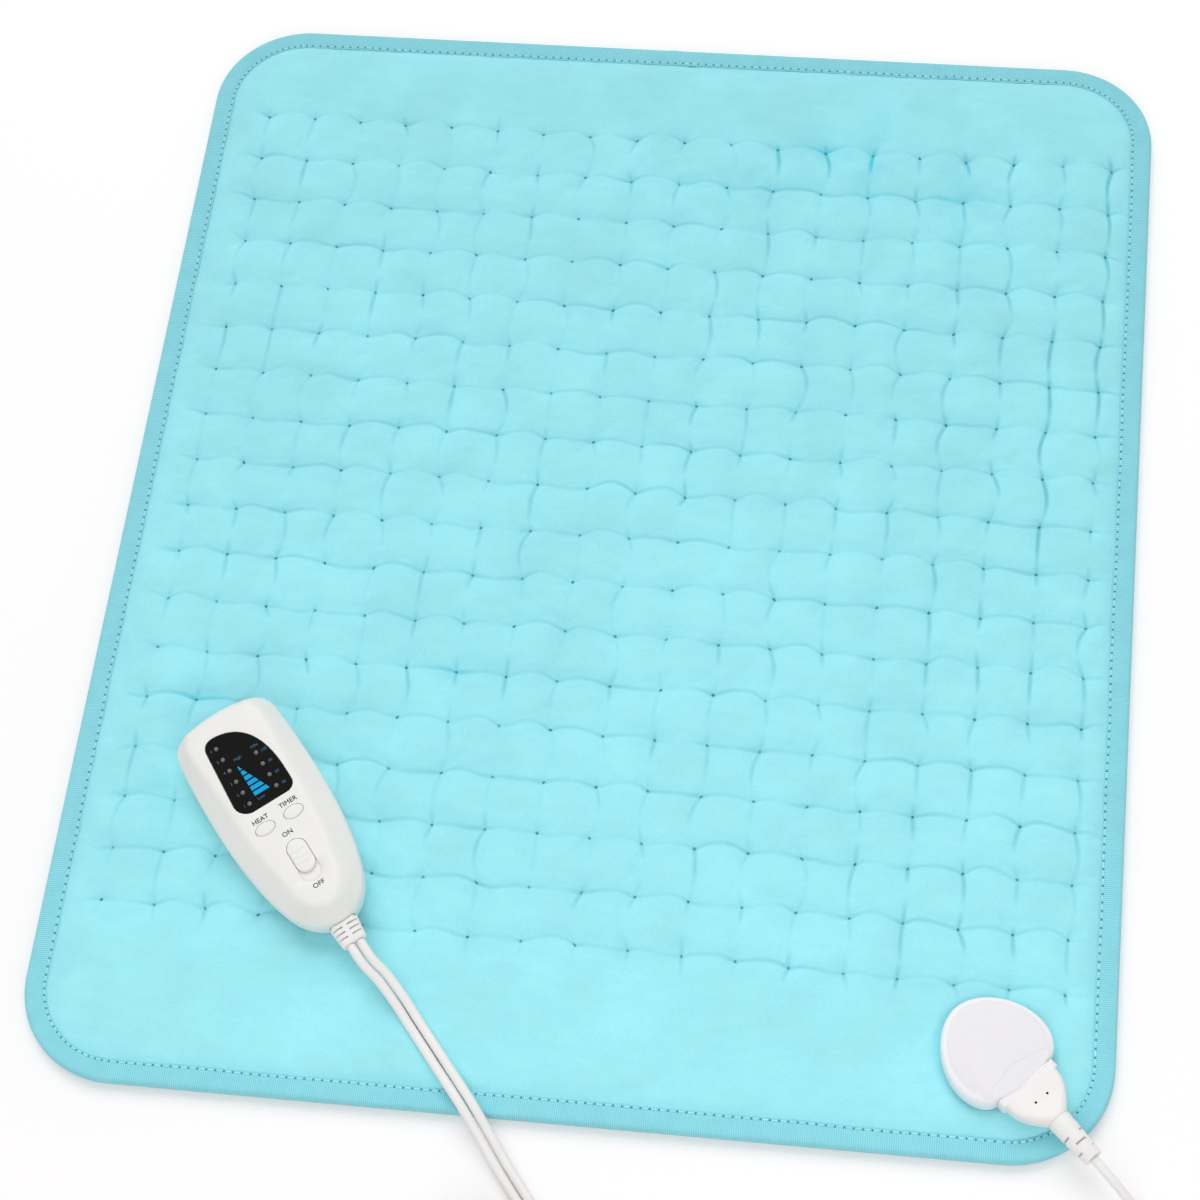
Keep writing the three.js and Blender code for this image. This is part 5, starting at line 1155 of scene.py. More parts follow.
def slide_cap():
    """Slider cap with three ribs and a stem that holds the switch lever."""
    outline = stadium(9.8, 17.8, SLIDER_Y)
    levels = [(0, 20.9), (0, 22.0), (0.1, 22.25), (0.35, 22.43), (0.7, 22.5)]
    cap = loft("power_slider_cap", [ring(inset(outline, d), z) for d, z in levels])
    ribs = []
    for k in range(3):
        y = SLIDER_Y + 3.3 * (k - 1)
        crown = ((0.0, 22.3), (0.0, 22.52), (0.2, 22.64), (0.5, 22.74), (0.85, 22.8))
        oval = circle(1.0, count=40)
        ribs.append(loft("rib", [ring(oval * (3.7 - s, 1.25 - s) + (0, y), z) for s, z in crown]))
    stem = block(-1.5, 1.5, SLIDER_Y - 2.5, SLIDER_Y + 2.5, 18.2, 21.7)
    carve(cap, [*ribs, stem], "UNION")
    carve(cap, [block(-2.5, 2.5, SLIDER_Y - 1.0, SLIDER_Y + 1.0, 16.7, 19.7)])
    return settle(cap, CASE_PLACE, "case", "power_slider", ["power_slider"])


class HEATPAD_OT_controller(bpy.types.Operator):
    """Controller shells, lens, lamps, buttons, slider and the parts inside"""

    bl_idname = "heatpad.controller"
    bl_label = "Controller"

    def execute(self, context):
        front_shell()
        rear_shell()
        strain_relief()
        levels = [(0, 20.8), (0, 21.75), (0.06, 21.9), (0.2, 22.0)]
        lens = loft("display_window", [ring(lens_outline(-d), z) for d, z in levels])
        carve(lens, [rod(1.45, x, y, 19.8, 23) for _, _, x, y in LAMPS])
        settle(lens, CASE_PLACE, "lens", LEAD_BODY, ["display_lens"])
        indicator_lamps()
        for name, x in BUTTONS.items():
            push_button(name, x)
        slide_cap()
        dress("board", "circuit_board")
        dress(
            "part", "heat_switch", "heat_plunger", "timer_switch", "timer_plunger", "slide_lever",
            "capacitor", "triac", "control_chip")
        dress("tin", "slide_switch", "fuse", "case_screw_1", "case_screw_2")
        dress("case", "cord_clamp")
        return {"FINISHED"}


# Legends

def legend(name, words, finish, bold=0.0):
    """Printed words on the controller's face: text, size, x and y of each."""
    graph_parts = []
    for text, size, x, y in words:
        data = bpy.data.curves.new(name, "FONT")
        data.body = text
        data.size = size
        data.align_x = "CENTER"
        data.align_y = "CENTER"
        data.extrude = 0.02
        data.bevel_depth = bold
        data.bevel_resolution = 0
        data.resolution_u = 3
        carrier = bpy.data.objects.new(name, data)
        carrier.matrix_world = Matrix.Translation((x, y, CASE_TOP + 0.025))
        bpy.context.scene.collection.objects.link(carrier)
        graph_parts.append(carrier)
    graph = bpy.context.evaluated_depsgraph_get()
    shape = bmesh.new()
    for carrier in graph_parts:
        mesh = bpy.data.meshes.new_from_object(carrier.evaluated_get(graph))
        mesh.transform(carrier.matrix_world)
        shape.from_mesh(mesh)
        bpy.data.objects.remove(carrier)
    printed = new_object(name, np.zeros((0, 3)), [])
    shape.to_mesh(printed.data)
    shape.free()
    return settle(printed, CASE_PLACE, finish, LEAD_BODY)


class HEATPAD_OT_legends(bpy.types.Operator):
    """Printed words and the heat ramp"""

    bl_idname = "heatpad.legends"
    bl_label = "Legends"

    def execute(self, context):
        words = (("HEAT", -7.6, -1.3), ("TIMER", 7.7, -0.9), ("ON", 0.0, -14.6), ("OFF", 0.0, -45.2))
        legend("case_legends", [(text, 3.45, x, y) for text, x, y in words], "ink", 0.035)
        numbers = [(str(k + 1), 2.1, -10.5, 8.85 + LAMP_PITCH * k) for k in range(6)]
        minutes = ("30", "60", "90", "120")
        numbers += [(text, 2.1, 11.1, 9.25 + LAMP_PITCH * k) for k, text in enumerate(minutes)]
        numbers += [("High", 2.2, -1.6, 32.6), ("Low", 2.2, -1.6, 8.6), ("MIN", 2.1, 8.1, 33.7)]
        legend("lens_legends", numbers, "scale")
        left, low, high, wide, bars = -3.8, 10.8, 29.6, 8.0, 6
        solids = []
        for k in range(bars):
            y0 = low + (high - low) * k / bars
            y1 = low + (high - low) * (k + 1) / bars - 0.9
            w0 = wide * (1 - (y0 - low) / (high - low))
            w1 = max(0.35, wide * (1 - (y1 - low) / (high - low)))
            corners = np.array([(left, y0), (left + w0, y0), (left + w1, y1), (left, y1)])
            solids.append(skin([ring(corners, z) for z in (22.005, 22.04)]))
        ramp = joined("heat_ramp", solids)
        settle(ramp, CASE_PLACE, "ramp", LEAD_BODY)
        return {"FINISHED"}


# Pad cloth

STITCH_INSET = 9.5
TAPE_STEP = 2.2
TAPE_JOIN = -6.0
TAPE_NOTCH = 147.0
CLOTH_EDGE = 3.0
CLOTH_STEP = 3.0
CLOTH_FRAMES = 20
HELD_EDGE = 11.6
SPARE_CLOTH = 0.016
SWELL_CAP = 4.0
BACK_EDGE = 11.4
BACK_STEP = 3.6
POCKET_HALF = (220.0, 271.0)
CARRIER_HALF = (219.7, 270.7)
CARRIER_COUNT = (45, 55)
# Where the pile lies ruffled against the rest: middle, reach and strength
RUFFLED = [
    (110, 234, 15, 26, 1.0), (74, 238, 24, 12, 0.9), (155, 214, 14, 24, 0.8), (30, 214, 45, 22, 0.45),
    (190, 205, 40, 35, 0.3), (-196, -110, 14, 14, 0.8), (-202, -164, 10, 20, 0.6), (-70, -84, 16, 10, 0.6),
    (0, 280, 260, 26, 0.25),
]


def pad_outline(pad, edge=0.0):
    """Half sizes and corner radius of the pad's outline, or of one that far inside it."""
    return pad.width / MM / 2 - edge, pad.length / MM / 2 - edge, pad.corner / MM - edge


def edge_distance(x, y, pad):
    """Distance inside the pad's outline."""
    half_x, half_y, r = pad_outline(pad)
    qx, qy = np.abs(x) - (half_x - r), np.abs(y) - (half_y - r)
    corner = np.hypot(np.maximum(qx, 0), np.maximum(qy, 0)) + np.minimum(np.maximum(qx, qy), 0)
    return r - corner


def ease(low, high, value):
    """Smooth step from 0 at low to 1 at high."""
    t = np.clip((value - low) / (high - low), 0, 1)
    return t * t * (3 - 2 * t)


def wander(x, y, cell, rng):
    """Smooth random field from -1 to 1 with bumps of a size in millimetres."""
    gx, gy = (x - x.min()) / cell, (y - y.min()) / cell
    grid = rng.uniform(-1, 1, (int(gx.max()) + 2, int(gy.max()) + 2))
    i, j = np.floor(gx).astype(int), np.floor(gy).astype(int)
    fx, fy = ease(0, 1, gx - i), ease(0, 1, gy - j)
    low = grid[i, j] * (1 - fx) + grid[i + 1, j] * fx
    high = grid[i, j + 1] * (1 - fx) + grid[i + 1, j + 1] * fx
    return low * (1 - fy) + high * fy


def lattice_place(x, y, pad):
    """Column and row numbers, with fractions, on the lattice of tufts."""
    across, along = pad.pitch_across / MM, pad.pitch_along / MM
    dx, dy = x - TUFT_ORIGIN[0], y - TUFT_ORIGIN[1]
    area = across * along + TUFT_LEAN * TUFT_DROP
    return (dx * along - dy * TUFT_LEAN) / area, (dy * across + dx * TUFT_DROP) / area


def lattice_creases(x, y, pad):
    """Creases between the tufts: bent lattice coordinates, offsets from the nearest and their strengths."""
    rng = np.random.default_rng(pad.seed)
    across, along = pad.pitch_across / MM, pad.pitch_along / MM
    last_column, last_row = TUFT_COLUMNS - 1, TUFT_ROWS - 1
    u, v = lattice_place(x, y, pad)
    u = u + 0.03 * wander(x, y, 70, rng) + 0.016 * wander(x, y, 11, rng)
    v = v + 0.03 * wander(x, y, 70, rng) + 0.016 * wander(x, y, 11, rng)
    i = np.clip(np.floor(u), -1, last_column).astype(int)
    j = np.clip(np.floor(v), -1, last_row).astype(int)
    fu, fv = np.clip(u - i, 0, 1), np.clip(v - j, 0, 1)
    i0, i1 = np.clip(i, 0, last_column), np.clip(i + 1, 0, last_column)
    j0, j1 = np.clip(j, 0, last_row), np.clip(j + 1, 0, last_row)

    # Each stretch of crease between two tufts has its own bow, and the last row arches most
    stretches = (TUFT_COLUMNS + 1, TUFT_ROWS + 1)
    bow = np.clip(rng.normal(1.1, 1.6, stretches), -1.8, 4.0)
    bow[:, last_row] = rng.uniform(1.5, 5.0, TUFT_COLUMNS + 1)
    skew = rng.uniform(-1.0, 1.0, stretches)
    sway = np.clip(rng.normal(0.0, 2.2, stretches), -4.2, 4.2)
    hump, twist, swing = np.sin(math.pi * fu), np.sin(2 * math.pi * fu), np.sin(math.pi * fv)
    bow_low = bow[i + 1, j0] * hump + skew[i + 1, j0] * twist
    bow_high = bow[i + 1, j1] * hump + skew[i + 1, j1] * twist
    bent_v = v - (bow_low + (bow_high - bow_low) * ease(0, 1, fv)) / along
    sway_low, sway_high = sway[i0, j + 1] * swing, sway[i1, j + 1] * swing
    bent_u = u - (sway_low + (sway_high - sway_low) * ease(0, 1, fu)) / across
    row = np.clip(np.round(bent_v), 0, last_row).astype(int)
    column = np.clip(np.round(bent_u), 0, last_column).astype(int)

    # Creases fade beyond the tufts, and many break off between two of them
    past_side = np.maximum(0, np.maximum(-u, u - last_column)) * across
    past_end = np.maximum(0, np.maximum(-v, v - last_row)) * along
    to_side, to_end = 1 - ease(2, 17, past_side), 1 - ease(0, 13, past_end)
    row_bold = rng.uniform(0.25, 1.0, (TUFT_COLUMNS, TUFT_ROWS))
    column_bold = rng.uniform(0.15, 1.0, (TUFT_COLUMNS, TUFT_ROWS)) ** 1.2
    column_bold[-4:] = np.minimum(1.1, column_bold[-4:] + 0.4)
    row_break = rng.uniform(0.0, 0.75, stretches)
    hang = rng.uniform(0.3, 1.1, (TUFT_COLUMNS, TUFT_ROWS))
    climb = rng.uniform(0.0, 0.45, (TUFT_COLUMNS, TUFT_ROWS))
    for far_side in (np.s_[-1, 12:], np.s_[-2, 9:14]):
        column_bold[far_side], hang[far_side] = 1.5, 1.1
    bold_row = row_bold[i0, row] + (row_bold[i1, row] - row_bold[i0, row]) * ease(0, 1, fu)
    bold_row = bold_row * (1 - row_break[i + 1, row] * hump) * to_side * (1 - ease(0, 6, past_end))
    hung = column_bold[column, j1] * (1 - ease(0.3, 1.0, (1 - fv) / hang[column, j1]))
    risen = 0.8 * column_bold[column, j0] * (1 - ease(0.2, 1.0, fv / (climb[column, j0] + 0.05)))
    bold_column = np.maximum(hung, risen) * to_end * (1 - ease(0, 5, past_side))

    # Most tufts drag a short slanting crease towards the near left, those by the socket to the far right
    tuft_u = np.clip(np.round(u), 0, last_column).astype(int)
    tuft_v = np.clip(np.round(v), 0, last_row).astype(int)
    dx, dy = (u - tuft_u) * across, (v - tuft_v) * along
    slant = rng.normal(222, 22, (TUFT_COLUMNS, TUFT_ROWS))
    slant[-5:, :9] -= 180
    slant = np.radians(slant)[tuft_u, tuft_v]
    drag = (rng.uniform(0, 1, (TUFT_COLUMNS, TUFT_ROWS)) ** 1.3)[tuft_u, tuft_v]
    run, away = dx * np.cos(slant) + dy * np.sin(slant), dy * np.cos(slant) - dx * np.sin(slant)
    drag = drag * np.exp(-(away / 1.4) ** 2) * ease(0, 1.5, run) * (1 - ease(4, 11, run))
    # Strength of the painted shade in each tuft's pinhole
    depth_of_tuft = rng.uniform(0.6, 1.0, (TUFT_COLUMNS, TUFT_ROWS))[tuft_u, tuft_v]

    off_row, off_column = (bent_v - row) * along, (bent_u - column) * across
    return SimpleNamespace(
        u=bent_u, v=bent_v, off_row=off_row, off_column=off_column, bold_row=bold_row * to_end,
        bold_column=bold_column, drag=drag * to_side * to_end, field=to_side * to_end,
        reach=np.hypot(off_row, off_column), tuft=tuft_u * TUFT_ROWS + tuft_v,
        pinhole_shade_strength=depth_of_tuft * ((past_side < 3) & (past_end < 3)),
        ruffled=sum(
            s * np.exp(-((x - px) / rx) ** 2 - ((y - py) / ry) ** 2) for px, py, rx, ry, s in RUFFLED))


def sewn_height(x, y, pad, lines):
    """Height of the top as sewn, before its filling swells: base, valleys, creases and tufts."""
    rng = np.random.default_rng(pad.seed + 2)
    inside = edge_distance(x, y, pad)
    plateau = pad.crown / MM - 1.3
    base = RIM_TOP - 0.05 + 0.95 * (1 - np.exp(-np.maximum(0, inside - 10)))
    base += (plateau - RIM_TOP - 0.95) * (1 - np.exp(-np.maximum(0, inside - 11) / 6.5))
    base += (0.3 * wander(x, y, 48, rng) + 0.14 * wander(x, y, 17, rng)) * ease(12, 26, inside)
    lower = np.where(lines.off_row > 0, 6.2, 8.4)
    depth = 1.0 * np.exp(-(lines.off_row / lower) ** 2) * (0.4 + 0.6 * lines.bold_row)
    depth += 0.65 * np.exp(-(lines.off_row / 1.3) ** 2) * lines.bold_row
    depth += 0.55 * np.exp(-(lines.off_column / 6.5) ** 2) * (0.3 + 0.7 * lines.bold_column)
    depth += 0.5 * np.exp(-(lines.off_column / 1.3) ** 2) * lines.bold_column
    depth += (
        0.9 * np.exp(-(lines.reach / 4.2) ** 2) + 0.7 * np.exp(-(lines.reach / 1.4) ** 2) + 0.45 * lines.drag)
    height = base + (0.4 - depth) * lines.field
    return height + 0.1 * wander(x, y, 4.5, rng) * ease(11.5, 16, inside)


def grid_place(x, y, pad, step, edge):
    """Columns and rows, with fractions, of points on the grid over the pad."""
    half_x, half_y, _ = pad_outline(pad, edge)
    return (x / half_x + 1) / 2 * int(2 * half_x / step), (y / half_y + 1) / 2 * int(2 * half_y / step)


def swollen_lift(pad):
    """Cloth simulation of the top, held at its edge and tufts and swollen by its filling: rise on a grid."""
    x, y, faces = grid_on_pad(pad, CLOTH_STEP, CLOTH_EDGE)
    lines = lattice_creases(x, y, pad)
    start = sewn_height(x, y, pad, lines)
    held = edge_distance(x, y, pad) < HELD_EDGE
    near = np.nonzero(lines.reach < CLOTH_STEP)[0]
    near = near[np.argsort(lines.reach[near], kind="stable")]
    _, first = np.unique(lines.tuft[near], return_index=True)
    held[near[first]] = True
    cloth = cloth_mesh("swelling_top", x * MM, y * MM, start * MM, faces)
    weights = {"held": held * 1.0, "plain": 1 - lines.field, "filled": 0.12 + 0.88 * lines.field}
    for name, values in weights.items():
        group = cloth.vertex_groups.new(name=name)
        for k in np.nonzero(values > 0)[0]:
            group.add([int(k)], float(values[k]), "REPLACE")
    swell = cloth.modifiers.new("swell", "CLOTH")
    cloth_settings = {
        "quality": 4, "mass": 0.3, "tension_stiffness": 12, "compression_stiffness": 12, "shear_stiffness": 4,
        "bending_stiffness": 0.4, "tension_damping": 8, "compression_damping": 8, "shear_damping": 8,
        "bending_damping": 0.5, "air_damping": 3, "vertex_group_mass": "held", "pin_stiffness": 40,
        "use_pressure": True, "uniform_pressure_force": 2.2, "vertex_group_pressure": "filled",
        "vertex_group_shrink": "plain", "shrink_min": -SPARE_CLOTH, "shrink_max": -0.003,
    }
    for name, value in cloth_settings.items():
        setattr(swell.settings, name, value)
    swell.settings.effector_weights.gravity = 0
    swell.collision_settings.use_collision = False
    swell.point_cache.frame_end = CLOTH_FRAMES
    scene = bpy.context.scene
    for number in range(1, CLOTH_FRAMES + 1):
        scene.frame_set(number)
    shape = cloth.evaluated_get(bpy.context.evaluated_depsgraph_get()).to_mesh()
    moved = np.empty(3 * len(x))
    shape.vertices.foreach_get("co", moved)
    bpy.data.objects.remove(cloth)
    scene.frame_set(1)
    rise = np.clip(moved[2::3] / MM - start, -SWELL_CAP, SWELL_CAP)
    column, row = grid_place(x, y, pad, CLOTH_STEP, CLOTH_EDGE)
    i, j = np.rint(column).astype(int), np.rint(row).astype(int)
    square = np.hypot(column - i, row - j) < 0.01
    lift = np.zeros((j.max() + 1, i.max() + 1))
    lift[j[square], i[square]] = rise[square]
    return lift


def sampled(grid, column, row):
    """Smooth values between the points of a grid, by quadratic splines."""
    i, j = np.rint(column).astype(int), np.rint(row).astype(int)
    spline = lambda t: ((-1, 0.5 * (0.5 - t) ** 2), (0, 0.75 - t * t), (1, 0.5 * (0.5 + t) ** 2))
    total = np.zeros(len(column))
    for step_i, weight_i in spline(column - i):
        for step_j, weight_j in spline(row - j):
            rows = np.clip(j + step_j, 0, grid.shape[0] - 1)
            columns = np.clip(i + step_i, 0, grid.shape[1] - 1)
            total += weight_i * weight_j * grid[rows, columns]
    return total


def quilt_height(x, y, pad, lines):
    """Height of the finished top: as sewn, swollen by the simulation and eased under the crown's limit."""
    height = sewn_height(x, y, pad, lines)
    height += sampled(swollen_lift(pad), *grid_place(x, y, pad, CLOTH_STEP, CLOTH_EDGE))
    knee = pad.crown / MM - 0.6
    return np.where(height > knee, knee + 0.7 * np.tanh((height - knee) / 0.7), height)


def distance_to(points, path, closed):
    """Least plan distance from each point to a line, and the share along it of the nearest place."""
    a, b = path[:-1], path[1:]
    if closed:
        a, b = path, np.roll(path, -1, axis=0)
    best, where = np.full(len(points), 1e9), np.zeros(len(points))
    for k in range(len(a)):
        run = b[k, :2] - a[k, :2]
        t = np.clip(((points - a[k, :2]) @ run) / max(1e-9, run @ run), 0, 1)
        away = np.linalg.norm(points - a[k, :2] - t[:, None] * run, axis=1)
        nearer = away < best
        best[nearer], where[nearer] = away[nearer], k + t[nearer]
    return best, where


def inside_outline(points, outline):
    """True where a point lies inside a closed outline."""
    a, b = outline, np.roll(outline, -1, axis=0)
    crossings = np.zeros(len(points), int)
    for (ax, ay), (bx, by) in zip(a, b):
        spans = (ay > points[:, 1]) != (by > points[:, 1])
        if ay != by:
            crossings += spans & (points[:, 0] < (bx - ax) * (points[:, 1] - ay) / (by - ay) + ax)
    return crossings % 2 == 1


def pressed(points, height):
    """Lowers the cloth under the socket, the connector and the leads."""
    turn = np.array(CONNECTOR_PLACE.inverted())
    local = points @ turn[:2, :2].T + turn[:2, 3]
    near = np.hypot(local[:, 0], local[:, 1] - 10) < 75
    pebble = pebble_outline(10)
    away, _ = distance_to(local[near], pebble, True)
    away = np.where(inside_outline(local[near], pebble), -away, away)
    seat = SOCKET_SEAT - 0.15 + np.maximum(0, away - 0.6) * 0.9
    height[near] = np.minimum(height[near], seat)
    under_plug = near & (np.abs(local[:, 0]) < 18) & (local[:, 1] < 2) & (local[:, 1] > -26)
    height[under_plug] = np.minimum(height[under_plug], 10.1)
    under_boot = near & (np.abs(local[:, 0]) < 7.5) & (local[:, 1] <= -22) & (local[:, 1] > -50)
    height[under_boot] = np.minimum(height[under_boot], 9.2)
    for path in lead_paths():
        path = path[:80]
        close = (points[:, 0] > -115) & (points[:, 0] < 20) & (points[:, 1] < -220)
        away, where = distance_to(points[close], path, False)
        z = np.interp(where, np.arange(len(path)), path[:, 2])
        height[close] = np.minimum(height[close], z - 2.55 + 0.22 * away**2)
    return height


def grid_faces(nx, ny):
    """Corners of each square of a grid."""
    corner = (np.arange(ny - 1)[:, None] * nx + np.arange(nx - 1)[None, :]).ravel()
    return np.stack([corner, corner + 1, corner + nx + 1, corner + nx], axis=1)


def grid_on_pad(pad, step, edge):
    """Points of a grid over the pad, drawn in to a rounded outline, with the faces that are kept."""
    half_x, half_y, r = pad_outline(pad, edge)
    xs = np.linspace(-half_x, half_x, int(2 * half_x / step) + 1)
    ys = np.linspace(-half_y, half_y, int(2 * half_y / step) + 1)
    x, y = (a.ravel() for a in np.meshgrid(xs, ys))
    cx, cy = np.clip(x, -half_x + r, half_x - r), np.clip(y, -half_y + r, half_y - r)
    away = np.hypot(x - cx, y - cy)
    outside = away > r + 1e-6
    pull = np.where(outside, r / np.maximum(away, 1e-9), 1.0)
    x, y = cx + (x - cx) * pull, cy + (y - cy) * pull
    nx, ny = len(xs), len(ys)
    faces = grid_faces(nx, ny)
    faces = faces[outside[faces].sum(axis=1) < 4]
    used = np.unique(faces)
    renumber = np.zeros(nx * ny, int)
    renumber[used] = np.arange(len(used))
    return x[used], y[used], renumber[faces]


def cloth_mesh(name, x, y, z, faces):
    """A mesh object from arrays of coordinates and faces."""
    mesh = bpy.data.meshes.new(name)
    mesh.vertices.add(len(x))
    mesh.vertices.foreach_set("co", np.stack([x, y, z], axis=1).ravel())
    mesh.loops.add(faces.size)
    mesh.loops.foreach_set("vertex_index", faces.ravel())
    mesh.polygons.add(len(faces))
    mesh.polygons.foreach_set("loop_start", np.arange(0, faces.size, faces.shape[1]))
    mesh.update(calc_edges=True)
    made = bpy.data.objects.new(name, mesh)
    bpy.context.scene.collection.objects.link(made)
    return made


def name_places(mesh, layer, first, second):
    """Writes two values of each vertex as a UV layer."""
    corners = np.empty(len(mesh.loops), int)
    mesh.loops.foreach_get("vertex_index", corners)
    places = mesh.uv_layers.new(name=layer)
    places.data.foreach_set("uv", np.stack([first[corners], second[corners]], axis=1).ravel())


def close_under(cloth, bottom, pocket=None):
    """Adds a wall and an underside to a cloth, with a pocket for the layers inside."""
    shape = bmesh.new()
    shape.from_mesh(cloth.data)
    rim = [e for e in shape.edges if e.is_boundary]
    grown = bmesh.ops.extrude_edge_only(shape, edges=rim)["geom"]
    low = [v for v in grown if isinstance(v, bmesh.types.BMVert)]
    for v in low:
        v.co.z = bottom
    loop = [e for e in grown if isinstance(e, bmesh.types.BMEdge)]
    if pocket is None:
        bmesh.ops.edgeloop_fill(shape, edges=loop)
    else:
        half_x, half_y, top = pocket
        places = [(-half_x, -half_y), (half_x, -half_y), (half_x, half_y), (-half_x, half_y)]
        foot = [shape.verts.new((px, py, bottom)) for px, py in places]
        roof = [shape.verts.new((px, py, top)) for px, py in places]
        edges = [shape.edges.new((foot[k], foot[(k + 1) % 4])) for k in range(4)]
        bmesh.ops.triangle_fill(shape, use_beauty=True, edges=loop + edges)
        for k in range(4):
            n = (k + 1) % 4
            shape.faces.new((foot[k], foot[n], roof[n], roof[k]))
        shape.faces.new(roof)
    bmesh.ops.recalc_face_normals(shape, faces=shape.faces)
    shape.to_mesh(cloth.data)
    shape.free()


def paint_quilting(mesh, *channels):
    """Writes up to four values of each vertex as a colour layer."""
    layer = mesh.color_attributes.new("shade_and_ruffle", "FLOAT_COLOR", "POINT")
    flat = np.ones((len(channels[0]), 4))
    for k, channel in enumerate(channels):
        flat[:, k] = channel
    layer.data.foreach_set("color", flat.ravel())


class HEATPAD_OT_cloth(bpy.types.Operator):
    """Quilted top, back cover, element carrier and heating wire"""

    bl_idname = "heatpad.cloth"
    bl_label = "Cloth"

    def execute(self, context):
        pad = context.scene.heatpad_pad
        x, y, faces = grid_on_pad(pad, pad.mesh_step / MM, CLOTH_EDGE)
        lines = lattice_creases(x, y, pad)
        height = pressed(np.stack([x, y], axis=1), quilt_height(x, y, pad, lines))
        top = cloth_mesh("quilted_plush", x, y, height, faces)
        name_places(top.data, "lattice", lines.u, lines.v)
        # Strengths of the painted crease shade and pinhole shade, and where the pile is ruffled
        paint_quilting(
            top.data, lines.bold_row, lines.bold_column, lines.pinhole_shade_strength, np.minimum(1, lines.ruffled))
        close_under(top, QUILT_BOTTOM, (*POCKET_HALF, POCKET_TOP))
        settle(top, Matrix(), "plush", PAD_BODY, ["quilted_top"], angle=75)

        x, y, faces = grid_on_pad(pad, BACK_STEP, BACK_EDGE)
        u, v = lattice_place(x, y, pad)
        off_u = (u - np.round(u)) * pad.pitch_across / MM
        off_v = (v - np.round(v)) * pad.pitch_along / MM
        field = (u > -0.3) & (u < TUFT_COLUMNS - 0.7) & (v > -0.3) & (v < TUFT_ROWS - 0.7)
        dimple = field * np.exp(-(off_u**2 + off_v**2) / 36)
        ridge = field * np.exp(-(off_v / 5) ** 2)
        back = cloth_mesh("plush_back", x, y, 0.02 + 0.75 * dimple + 0.25 * ridge, faces[:, ::-1])
        name_places(back.data, "lattice", u, v)
        # Painted crease shade along the back's ridges and painted pinhole shade over its field
        paint_quilting(back.data, 0.5 * ridge, 0 * ridge, field * 1.0)
        close_under(back, 2.18)
        settle(back, Matrix(), "plush", PAD_BODY, ["back_cover"], angle=75)

        half_x, half_y = CARRIER_HALF
        nx, ny = CARRIER_COUNT
        xs, ys = np.linspace(-half_x, half_x, nx), np.linspace(-half_y, half_y, ny)
        x, y = (a.ravel() for a in np.meshgrid(xs, ys))
        faces = grid_faces(nx, ny)
        carrier = cloth_mesh("felt_carrier", x, y, np.full(len(x), 3.15), faces)
        close_under(carrier, 2.55)
        settle(carrier, Matrix(), "felt", PAD_BODY, ["element_carrier"])
        dress("wire", "heating_wire")
        return {"FINISHED"}


# Binding

def edge_stations(pad, step):
    """Points round the pad's outline with the inward direction and the length so far."""
    half_x, half_y, r = pad_outline(pad)
    cx, cy = half_x - r, half_y - r
    corners = [(cx, -cy, -90), (cx, cy, 0), (-cx, cy, 90), (-cx, -cy, 180)]
    points, normals = [], []
    for k, (x, y, start) in enumerate(corners):
        turn = np.radians(np.linspace(start, start + 90, int(r * math.pi / 2 / step * 1.5) + 1))
        out = np.stack([np.cos(turn), np.sin(turn)], axis=1)
        points.append(np.array([x, y]) + r * out)
        normals.append(-out)
        nx, ny, _ = corners[(k + 1) % 4]
        begin, end = points[-1][-1], np.array([nx, ny]) + r * out[-1]
        count = int(np.linalg.norm(end - begin) / step)
        t = np.linspace(0, 1, count, endpoint=False)[1:, None]
        points.append(begin * (1 - t) + end * t)
        normals.append(np.repeat(-out[-1:], count - 1, axis=0))
    points, normals = np.concatenate(points), np.concatenate(normals)
    run = np.linalg.norm(np.roll(points, -1, axis=0) - points, axis=1)
    return points, normals, np.concatenate([[0], np.cumsum(run)[:-1]]), run.sum()


def stitch_run(pad):
    """Length and number of the stitches, so that they close up round the pad."""
    total = edge_stations(pad, TAPE_STEP)[3]
    count = int(total / (pad.stitch_pitch / MM))
    return total / count, count


def tape_wave(along, total, rng, count):
    """A closed random wave round the tape, from -1 to 1."""
    knots = rng.uniform(-1, 1, count)
    t = along / total * count
    k = np.floor(t).astype(int)
    f = ease(0, 1, t - k)
    return knots[k % count] * (1 - f) + knots[(k + 1) % count] * f


